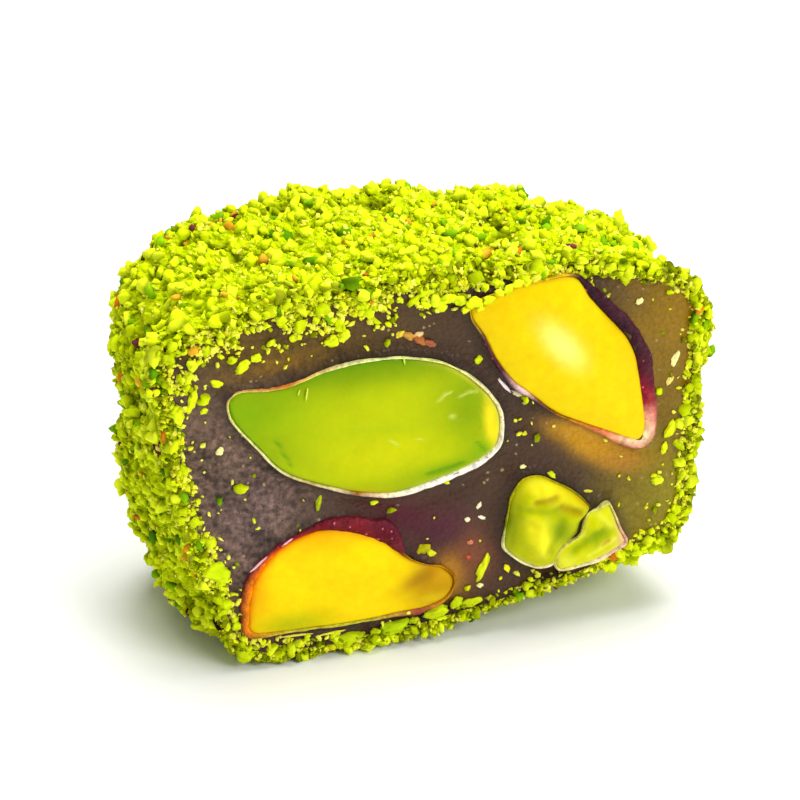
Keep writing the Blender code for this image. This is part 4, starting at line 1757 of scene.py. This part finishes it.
@dataclass
class CoatCore:
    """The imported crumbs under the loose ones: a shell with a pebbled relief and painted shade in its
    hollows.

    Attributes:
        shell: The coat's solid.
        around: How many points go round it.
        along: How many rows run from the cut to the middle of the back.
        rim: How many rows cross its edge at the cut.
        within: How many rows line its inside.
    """

    shell: Shell
    around: int = 480
    along: int = 118
    rim: int = 6
    within: int = 9

    SUNK = 0.3  # how far it lies under the solid's outside, in millimetres
    PEBBLES = ((0.95, 1.75), (0.4, 0.75))  # height and width of its large and small pebbles
    SWELL = (0.2, 3.6)  # height and width of the broad swells under it
    DEEPEST = -1.05  # the lowest that its hollows go, in millimetres
    GRAIN = 0.07  # how rough its surface is, in millimetres
    # painted shade: the core's colour runs from a dark shade in its hollows to its full colour on its
    # pebbles
    HOLLOW, RISE = -1.0, -0.35  # heights where its colour turns from dark to light
    DARK, LIGHT = (52, 60, 0), (200, 218, 8)

    def build(self, finish: Material) -> Piece:
        """Builds the core.

        Args:
            finish: Its material.

        Returns:
            The new piece.
        """
        outside = self.shell.lines_back(self.around, Layer.OUTSIDE, self.along)
        inside = self.shell.lines_back(self.around, Layer.INSIDE, self.within)
        shares = (np.arange(1, self.rim + 1) / (self.rim + 1))[:, None, None]
        rim = blend(inside[0], outside[0], shares)
        rings = np.concatenate([inside[:0:-1][1:], inside[:1], rim, outside[:-1]])
        points = np.concatenate([inside[-1, :1], rings.reshape(-1, 3), outside[-1, :1]])
        last = 1 + (len(rings) - 1) * self.around
        faces = [
            cap_faces(1, self.around, 0, False),
            ring_faces(len(rings), self.around, 1),
            cap_faces(last, self.around, len(points) - 1, True),
        ]
        piece = make_mesh("coat_core", points, faces, finish)
        piece.data.shade_flat()
        lining = (len(inside) - 1) * self.around
        heights = np.zeros(len(points))
        heights[lining:] = self.relief(points[lining:])
        push_out(piece, heights * MM)
        # painted shade, darker where the relief is lower
        self.light = smooth_step(self.HOLLOW, self.RISE, heights)
        shaded, light = np.array(tint(self.DARK)), np.array(tint(self.LIGHT))
        paint(piece, "tint", blend(shaded, light, self.light[:, None]))
        lay_map(piece, self.unrolled(piece))
        self.first_loose = (self.within - 2) * self.around
        self.piece = piece
        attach(piece, ROOT)
        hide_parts("crumb_coat")
        return piece

    def unrolled(self, piece: Piece) -> Points:
        """Each face corner's place on a map that runs round the core and from inside to outside.

        Args:
            piece: The core.

        Returns:
            The places.
        """
        corner, first = read_corners(piece.data)
        face = np.repeat(np.arange(len(first)), np.diff(np.append(first, len(corner))))
        rows = (len(piece.data.vertices) - 2) // self.around
        row, spoke = (corner - 1) // self.around, ((corner - 1) % self.around).astype(float)
        tip = (row < 0) | (row >= rows)
        low = np.minimum.reduceat(np.where(tip, np.inf, spoke), first)[face]
        high = np.maximum.reduceat(np.where(tip, -np.inf, spoke), first)[face]
        over = (high - low > 0.5 * self.around) & (spoke < 0.5 * self.around)
        spoke = np.where(tip, high + 0.5, spoke + self.around * over)
        return np.stack([spoke / (self.around + 1.0), (row + 1.0) / (rows + 1.0)], 1)

    def relief(self, points: Points) -> Points:
        """How far the core stands out from the solid at each place, in millimetres."""
        high, wide = self.SWELL
        height = high * noise_at(points, wide * MM, 40) - self.SUNK
        for order, (high, wide) in enumerate(self.PEBBLES):
            height += high * (pebbles_at(points, wide * MM, 41 + order) - 0.75)
        grain = self.GRAIN * np.random.default_rng(45).standard_normal(len(points))
        return np.maximum(height, self.DEEPEST) + grain


@dataclass(frozen=True)
class CrumbKind:
    """One kind of crumb.

    Attributes:
        name: The piece's name.
        count: How many there are on the coat.
        smallest: The least size across, in millimetres.
        largest: The greatest.
        stretch: How much longer than wide it is.
        facets: How many flat faces grinding left on it.
        roughness: How far its points stray in and out, as a share of its size.
        detail: How finely its ball is divided.
        tones: Its shades, from the darkest to the lightest.
        spill: How many more lie on the cut.
        seam: How many more fill the joint of the jelly and the coat.
    """

    name: str
    count: int
    smallest: float
    largest: float
    stretch: float
    facets: int
    roughness: float
    detail: int
    tones: tuple[Shade, ...]
    spill: int = 0
    seam: int = 0


@dataclass(frozen=True)
class Patch:
    """Places for crumbs.

    Attributes:
        places: The places in metres.
        normals: The way out of the surface at each.
        light: The share of light that reaches each.
    """

    places: Points
    normals: Points
    light: Points


class CrumbMaker:
    """Makes the crumbs of one kind as one joined mesh."""

    SHAPES = 14  # how many different chunks a kind has
    SMALLNESS = 1.5  # how far small crumbs outnumber large ones, where 1 is not at all
    LIFT = (-0.15, 0.3)  # how far a crumb's middle is over the surface, as shares of its size
    SPREAD = 0.25  # how far the tones of crumbs in the same light stray
    TILE_REACH = 0.21  # share of a tile's height for each radian from the pole of the ball

    def __init__(self, kind: CrumbKind, seed: int) -> None:
        """Starts on a kind.

        Args:
            kind: The kind of crumb.
            seed: Starts its own run of random numbers.
        """
        self.kind = kind
        self.rng = np.random.default_rng(seed)
        ball, self.faces = make_ball(kind.detail)
        self.tile = self.unrolled(ball)
        self.shapes = np.stack([self.chunk(ball) for _ in range(self.SHAPES)])

    def unrolled(self, ball: Points) -> Points:
        """The ball's faces on one tile of the map: the upper half on the left, the lower right.

        Args:
            ball: The points of the ball.

        Returns:
            Each corner's place from 0 to 1, by face, corner and axis.
        """
        corners = ball[self.faces] / np.linalg.norm(ball[0])
        lower = (corners[:, :, 2].mean(1) < 0.0)[:, None]
        away = np.arccos(np.clip(np.where(lower, -1.0, 1.0) * corners[:, :, 2], -1.0, 1.0))
        away *= self.TILE_REACH
        spin = np.arctan2(corners[:, :, 1], corners[:, :, 0])
        across = 0.25 + 0.5 * lower + 0.5 * away * np.cos(spin)
        return np.stack([across, 0.5 + away * np.sin(spin)], 2)

    def tiles(self, count: int) -> Points:
        """The places on the map of the corners of so many crumbs, each on a tile of its own."""
        columns = math.ceil(math.sqrt(count / 2.0))
        rows = math.ceil(count / columns)
        order = np.arange(count)
        start = np.stack([order % columns, order // columns], 1)[:, None, None]
        return (start + self.tile[None]) / np.array([columns, rows])

    def chunk(self, ball: Points) -> Points:
        """A ball with flat facets cut on it.

        Args:
            ball: The points of the ball.

        Returns:
            The points of the chunk.
        """
        seed = int(self.rng.integers(1000))
        rough = self.kind.roughness * self.rng.standard_normal(len(ball))
        lumps = np.clip(1.0 + 0.5 * noise_at(ball, 0.42, seed) + rough, 0.45, 1.6)
        chunk = ball * lumps[:, None]
        for _ in range(self.kind.facets):
            way = self.rng.standard_normal(3)
            way /= np.linalg.norm(way)
            over = np.maximum(chunk @ way - self.rng.uniform(0.18, 0.36), 0.0)
            chunk -= over[:, None] * way
        wide = self.rng.uniform(0.6, 1.0, 2)
        return chunk * np.array([self.kind.stretch, wide[0], wide[1]])

    def turns(self, count: int) -> Points:
        """Random rotation matrices."""
        q = self.rng.standard_normal((count, 4))
        w, x, y, z = (q / np.linalg.norm(q, axis=1, keepdims=True)).T
        rows = [
            [1 - 2 * (y * y + z * z), 2 * (x * y - w * z), 2 * (x * z + w * y)],
            [2 * (x * y + w * z), 1 - 2 * (x * x + z * z), 2 * (y * z - w * x)],
            [2 * (x * z - w * y), 2 * (y * z + w * x), 1 - 2 * (x * x + y * y)],
        ]
        return np.array(rows).transpose(2, 0, 1)

    def sizes(self, count: int) -> Points:
        """Random sizes in metres, small ones the most common."""
        ratio = self.kind.largest / self.kind.smallest
        return self.kind.smallest * ratio ** (self.rng.random(count) ** self.SMALLNESS) * MM

    def build(self, patches: Sequence[Patch], finish: Material) -> Piece:
        """Builds the piece.

        Args:
            patches: Where the crumbs lie.
            finish: Their material.

        Returns:
            The new piece.
        """
        places = np.concatenate([patch.places for patch in patches])
        normals = np.concatenate([patch.normals for patch in patches])
        light = np.concatenate([patch.light for patch in patches])
        count = len(places)
        sizes = self.sizes(count)
        shapes = self.shapes[self.rng.integers(0, self.SHAPES, count)]
        turned = np.einsum("nij,nkj->nki", self.turns(count), shapes) * sizes[:, None, None]
        lift = self.rng.uniform(*self.LIFT, count) * sizes
        centres = places + normals * lift[:, None]
        points = (turned + centres[:, None]).reshape(-1, 3)
        low, high = (np.array(corner) for corner in cad_box)
        points = np.clip(points, low - [0.3 * MM, 0.1 * MM, 0.0], high + 0.3 * MM)
        size = shapes.shape[1]
        faces = (self.faces[None] + (np.arange(count) * size)[:, None, None]).reshape(-1, 3)
        mesh = bpy.data.meshes.new(self.kind.name)
        mesh.from_pydata(points.tolist(), [], faces.tolist())
        if self.kind.detail > 1:
            mesh.shade_smooth()
        piece = put_in_scene(self.kind.name, mesh)
        piece.data.materials.append(finish)
        rise = np.einsum("nij,nj->ni", turned, normals) / sizes[:, None]
        paint(piece, "tint", self.shades(light, rise).reshape(-1, 4))
        lay_map(piece, self.tiles(count))
        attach(piece, ROOT)
        return piece

    def shades(self, light: Points, rise: Points) -> Points:
        """Each point's colour: one tone for each crumb, lighter where more light reaches it, with painted
        shade towards its foot and in hollows.

        Args:
            light: The share of light that reaches each crumb.
            rise: How high over its crumb's middle each point is, as a share of the size.

        Returns:
            The colours, by crumb and point.
        """
        tones = np.array([tint(tone) for tone in self.kind.tones])
        spread = self.SPREAD * self.rng.standard_normal(len(light))
        # painted light: crumbs that more light reaches take a lighter tone
        places = np.clip(0.15 + 0.7 * light + spread, 0.0, 0.999) * (len(tones) - 1)
        first = places.astype(int)
        colours = blend(tones[first], tones[first + 1], (places - first)[:, None])
        # painted shade towards each crumb's foot and where less light reaches it
        foot = 0.34 + 0.7 * smooth_step(-0.35, 0.35, rise)
        painted_shade = foot * (0.5 + 0.54 * light)[:, None]
        return np.clip(colours[:, None] * np.stack([painted_shade, painted_shade, painted_shade, np.ones_like(painted_shade)], -1), 0.0, 1.0)


class Scatter:
    """Picks places for crumbs on the core of the coat and on the cut."""

    JITTER = 0.08  # how far a crumb strays from its face of the core, in millimetres
    MARGIN = 0.3  # how far outside the cut places for crumbs are tried, in millimetres
    TRIES = 30  # places tried on the cut for each crumb
    CUT_LIGHT, SEAM_LIGHT = 0.9, 0.7  # the share of light there
    STRAY, NEAR_EDGE, HEAP = 0.002, 0.012, 0.02  # chances anywhere, by the edge and in the heap
    HEAP_AT = (5.6, 2.4)  # where a few heap up, in millimetres right of the middle and over it
    SPILL = (  # degrees round from the right, and how many millimetres crumbs reach over the cut
        (0.0, 0.3), (25.0, 0.15), (40.0, 0.2), (50.0, 0.15), (66.0, 0.15), (84.0, 0.75),
        (100.0, 1.0), (122.0, 1.25), (138.0, 1.35), (152.0, 1.15), (164.0, 0.35), (215.0, 0.5),
        (235.0, 0.5), (245.0, 0.1), (300.0, 0.1), (335.0, 0.35),
    )

    def __init__(self, core: CoatCore, jelly: Jelly) -> None:
        """Reads the surfaces that crumbs lie on.

        Args:
            core: The core of the coat.
            jelly: The jelly.
        """
        mesh = core.piece.data
        loose = slice(core.first_loose, None)
        self.centres = read_all(mesh.polygons, "center", 3)[loose]
        self.normals = read_all(mesh.polygons, "normal", 3)[loose]
        points, starts = read_corners(mesh)
        self.light = core.light[points[starts]][loose]
        weights = read_all(mesh.polygons, "area", 1)[loose, 0] * (0.1 + 0.9 * self.light)
        self.chances = weights / weights.sum()
        self.jelly = jelly

    def on_coat(self, count: int, seed: int) -> Patch:
        """Places spread evenly over the coat.

        Args:
            count: How many to pick.
            seed: Starts its own run of random numbers.

        Returns:
            The places.
        """
        rng = np.random.default_rng(seed)
        picked = rng.choice(len(self.centres), count, p=self.chances)
        jitter = rng.uniform(-self.JITTER, self.JITTER, (count, 3)) * MM
        return Patch(self.centres[picked] + jitter, self.normals[picked], self.light[picked])

    def spill_chance(self, flat: Points) -> Points:
        """How likely a crumb is to lie at each place of the cut, from 0 to 1."""
        outline = self.jelly.outline
        inward = -outline.gap(flat)
        inside = np.maximum(inward, 0.0)
        away = flat - outline.middle
        stops, reaches = np.array(self.SPILL).T
        reach = np.interp(np.degrees(bearings(away)) % 360.0, stops, reaches, period=360.0)
        clumps = smooth_step(-0.35, 0.3, noise_at(in_space(flat), 1.3, 50))
        chance = np.exp(-((inside / reach) ** 1.6)) * np.maximum(clumps, np.exp(-inside / 0.25))
        chance += self.STRAY + self.NEAR_EDGE * np.exp(-inside / 2.0)
        across, up = (away - self.HEAP_AT).T
        chance += self.HEAP * np.exp(-(across**2) / 1.6 - up**2 / 7.0)
        for kernel in self.jelly.kernels:
            chance *= smooth_step(-0.1, 0.3, kernel.outline.gap(flat))
        return chance * (inward >= 0.0)

    def on_cut(self, count: int, seed: int) -> Patch:
        """Places on the cut, close together along the edges that the knife dragged crumbs over.

        Args:
            count: How many to pick.
            seed: Starts its own run of random numbers.

        Returns:
            The places.
        """
        rng = np.random.default_rng(seed)
        low = self.jelly.outline.points.min(0) - self.MARGIN
        high = self.jelly.outline.points.max(0) + self.MARGIN
        flat = rng.uniform(low, high, (count * self.TRIES, 2))
        flat = flat[rng.random(len(flat)) < self.spill_chance(flat)][:count]
        places = self.jelly.shell.world(flat, -self.jelly.surface(flat))
        return self.facing(places, self.CUT_LIGHT)

    def on_seam(self, count: int, seed: int) -> Patch:
        """Places along the joint of the jelly and the coat.

        Args:
            count: How many to pick.
            seed: Starts its own run of random numbers.

        Returns:
            The places.
        """
        rng = np.random.default_rng(seed)
        edge = self.jelly.outline.points
        steps = np.linalg.norm(np.roll(edge, -1, 0) - edge, axis=1)
        first = rng.choice(len(edge), count, p=steps / steps.sum())
        share = rng.random((count, 1))
        flat = blend(edge[first], np.roll(edge, -1, 0)[first], share)
        out = flat - self.jelly.outline.middle
        out /= np.linalg.norm(out, axis=1, keepdims=True)
        flat = flat + out * rng.normal(0.28, 0.16, (count, 1))
        places = self.jelly.shell.world(flat, rng.uniform(0.0, 0.3, count))
        return self.facing(places, self.SEAM_LIGHT)

    def facing(self, places: Points, light: float) -> Patch:
        """Places on the cut, with the same light on each."""
        count = len(places)
        return Patch(places, np.tile([0.0, -1.0, 0.0], (count, 1)), np.full(count, light))


def crumb_kinds() -> list[CrumbKind]:
    """The kinds of crumb: three of bright flesh, two of dark flesh and two of skin."""
    lime = ((168, 190, 4), (204, 222, 10), (220, 238, 18), (236, 250, 40))
    moss = ((140, 164, 2), (190, 210, 6), (216, 234, 14), (230, 246, 30))
    lemon = ((214, 218, 12), (238, 238, 30), (250, 248, 90))
    olive = ((86, 92, 0), (130, 144, 2), (178, 190, 8))
    leaf = ((50, 96, 6), (96, 150, 8), (140, 190, 10))
    rust = ((150, 72, 22), (214, 124, 26), (232, 176, 40))
    plum = ((50, 24, 30), (96, 36, 48), (128, 60, 66))
    return [
        CrumbKind("crumbs_lime", 2180, 0.5, 1.15, 1.1, 2, 0.15, 2, lime, 60, 30),
        CrumbKind("crumbs_moss", 2120, 0.4, 0.8, 1.15, 1, 0.17, 2, moss, 170, 120),
        CrumbKind("crumbs_lemon", 6300, 0.16, 0.44, 1.4, 0, 0.18, 1, lemon, 2000, 1150),
        CrumbKind("crumbs_olive", 2600, 0.25, 0.5, 1.3, 0, 0.18, 1, olive, 260, 600),
        CrumbKind("crumbs_leaf_green", 420, 0.4, 0.9, 1.3, 2, 0.12, 2, leaf, 6, 4),
        CrumbKind("crumbs_rust_skin", 190, 0.35, 0.8, 1.5, 2, 0.1, 2, rust, 3, 2),
        CrumbKind("crumbs_plum_skin", 90, 0.3, 0.75, 1.5, 2, 0.1, 2, plum, 2, 2),
    ]


# -------- studio


class Studio:
    """The pale table, the lights and the camera."""

    AZIMUTH = math.radians(-16.0)
    ELEVATION = math.radians(28.5)
    DISTANCE = 0.234
    FIELD = math.radians(11.4)
    TABLE = 3.0  # half the table's side, in metres

    def build(self) -> None:
        """Builds the whole studio."""
        self.lay_table()
        self.hang_lights()
        self.set_camera()

    def lay_table(self) -> None:
        """Lays a wide white table under the sweet."""
        mesh = bpy.data.meshes.new("table")
        side = self.TABLE
        corners = [(-side, -side, 0.0), (side, -side, 0.0), (side, side, 0.0), (-side, side, 0.0)]
        mesh.from_pydata(corners, [], [(0, 1, 2, 3)])
        white = bpy.data.materials.new("table_white")
        white.use_nodes = True
        shader = white.node_tree.nodes["Principled BSDF"]
        shader.inputs["Base Color"].default_value = (0.92, 0.92, 0.92, 1.0)
        shader.inputs["Roughness"].default_value = 0.6
        mesh.materials.append(white)
        table = put_in_scene("table", mesh)

    def hang_light(self, name: str, place: tuple, size: float, power: float) -> None:
        """Hangs one soft square light that looks at the sweet.

        Args:
            name: The light's name.
            place: Where it hangs, in metres.
            size: The side of the square.
            power: Its power in watts.
        """
        lamp = bpy.data.lights.new(name, "AREA")
        lamp.size = size
        lamp.energy = power
        light = put_in_scene(name, lamp)
        light.location = place
        light.rotation_euler = (-Vector(place)).to_track_quat("-Z", "Y").to_euler()

    def hang_lights(self) -> None:
        """Hangs the lights and sets the light of the room."""
        self.hang_light("top_light", (0.04, 0.05, 0.45), 0.34, 2.5)
        self.hang_light("key_light", (0.22, -0.34, 0.30), 0.20, 1.3)
        world = bpy.data.worlds.new("room")
        world.use_nodes = True
        room = world.node_tree.nodes["Background"]
        room.inputs["Color"].default_value = (1.0, 1.0, 1.0, 1.0)
        room.inputs["Strength"].default_value = 0.3
        bpy.context.scene.world = world
        bpy.context.scene.view_settings.view_transform = "Standard"

    def set_camera(self) -> None:
        """Points the camera at the middle of the sweet."""
        low, high = cad_box
        target = (low + high) / 2.0
        level = math.cos(self.ELEVATION)
        across, away = math.sin(self.AZIMUTH) * level, -math.cos(self.AZIMUTH) * level
        back = Vector((across, away, math.sin(self.ELEVATION)))
        lens = bpy.data.cameras.new("camera")
        lens.angle = self.FIELD
        lens.clip_start = 0.01
        camera = put_in_scene("camera", lens)
        camera.location = target + back * self.DISTANCE
        camera.rotation_euler = (-back).to_track_quat("-Z", "Y").to_euler()
        bpy.context.scene.camera = camera


# -------- the whole sweet


def report(piece: Piece) -> None:
    """Says how many triangles a piece has."""
    triangles = sum(len(face.vertices) - 2 for face in piece.data.polygons)
    LOG.info("%s: %d triangles", piece.name, triangles)


def main() -> None:
    """Builds the sweet and its studio."""
    logging.basicConfig(level=logging.INFO, format="%(name)s: %(message)s")
    effects = Effects()
    shell = Shell()
    flesh, skin = FLESH.material(effects), SKIN.material(effects)
    kernels = [CENTRE, UPPER, LOWER, CORNER, CHIP]
    for kernel in kernels:
        kernel.place_on(shell)
        report(kernel.build_flesh(flesh))
        report(kernel.build_skin(skin))
    jelly = Jelly(shell, kernels)
    report(jelly.build(STARCH.material(effects)))
    core = CoatCore(shell)
    report(core.build(PACKED.material(effects)))
    ground = GROUND.material(effects)
    report(FlakeMaker(jelly).build(ground))
    scatter = Scatter(core, jelly)
    for order, kind in enumerate(crumb_kinds()):
        patches = [
            scatter.on_coat(kind.count, COAT_SEED + order),
            scatter.on_cut(kind.spill, CUT_SEED + order),
            scatter.on_seam(kind.seam, SEAM_SEED + order),
        ]
        report(CrumbMaker(kind, SHAPE_SEED + order).build(patches, ground))
    Studio().build()


if __name__ == "__main__":
    main()
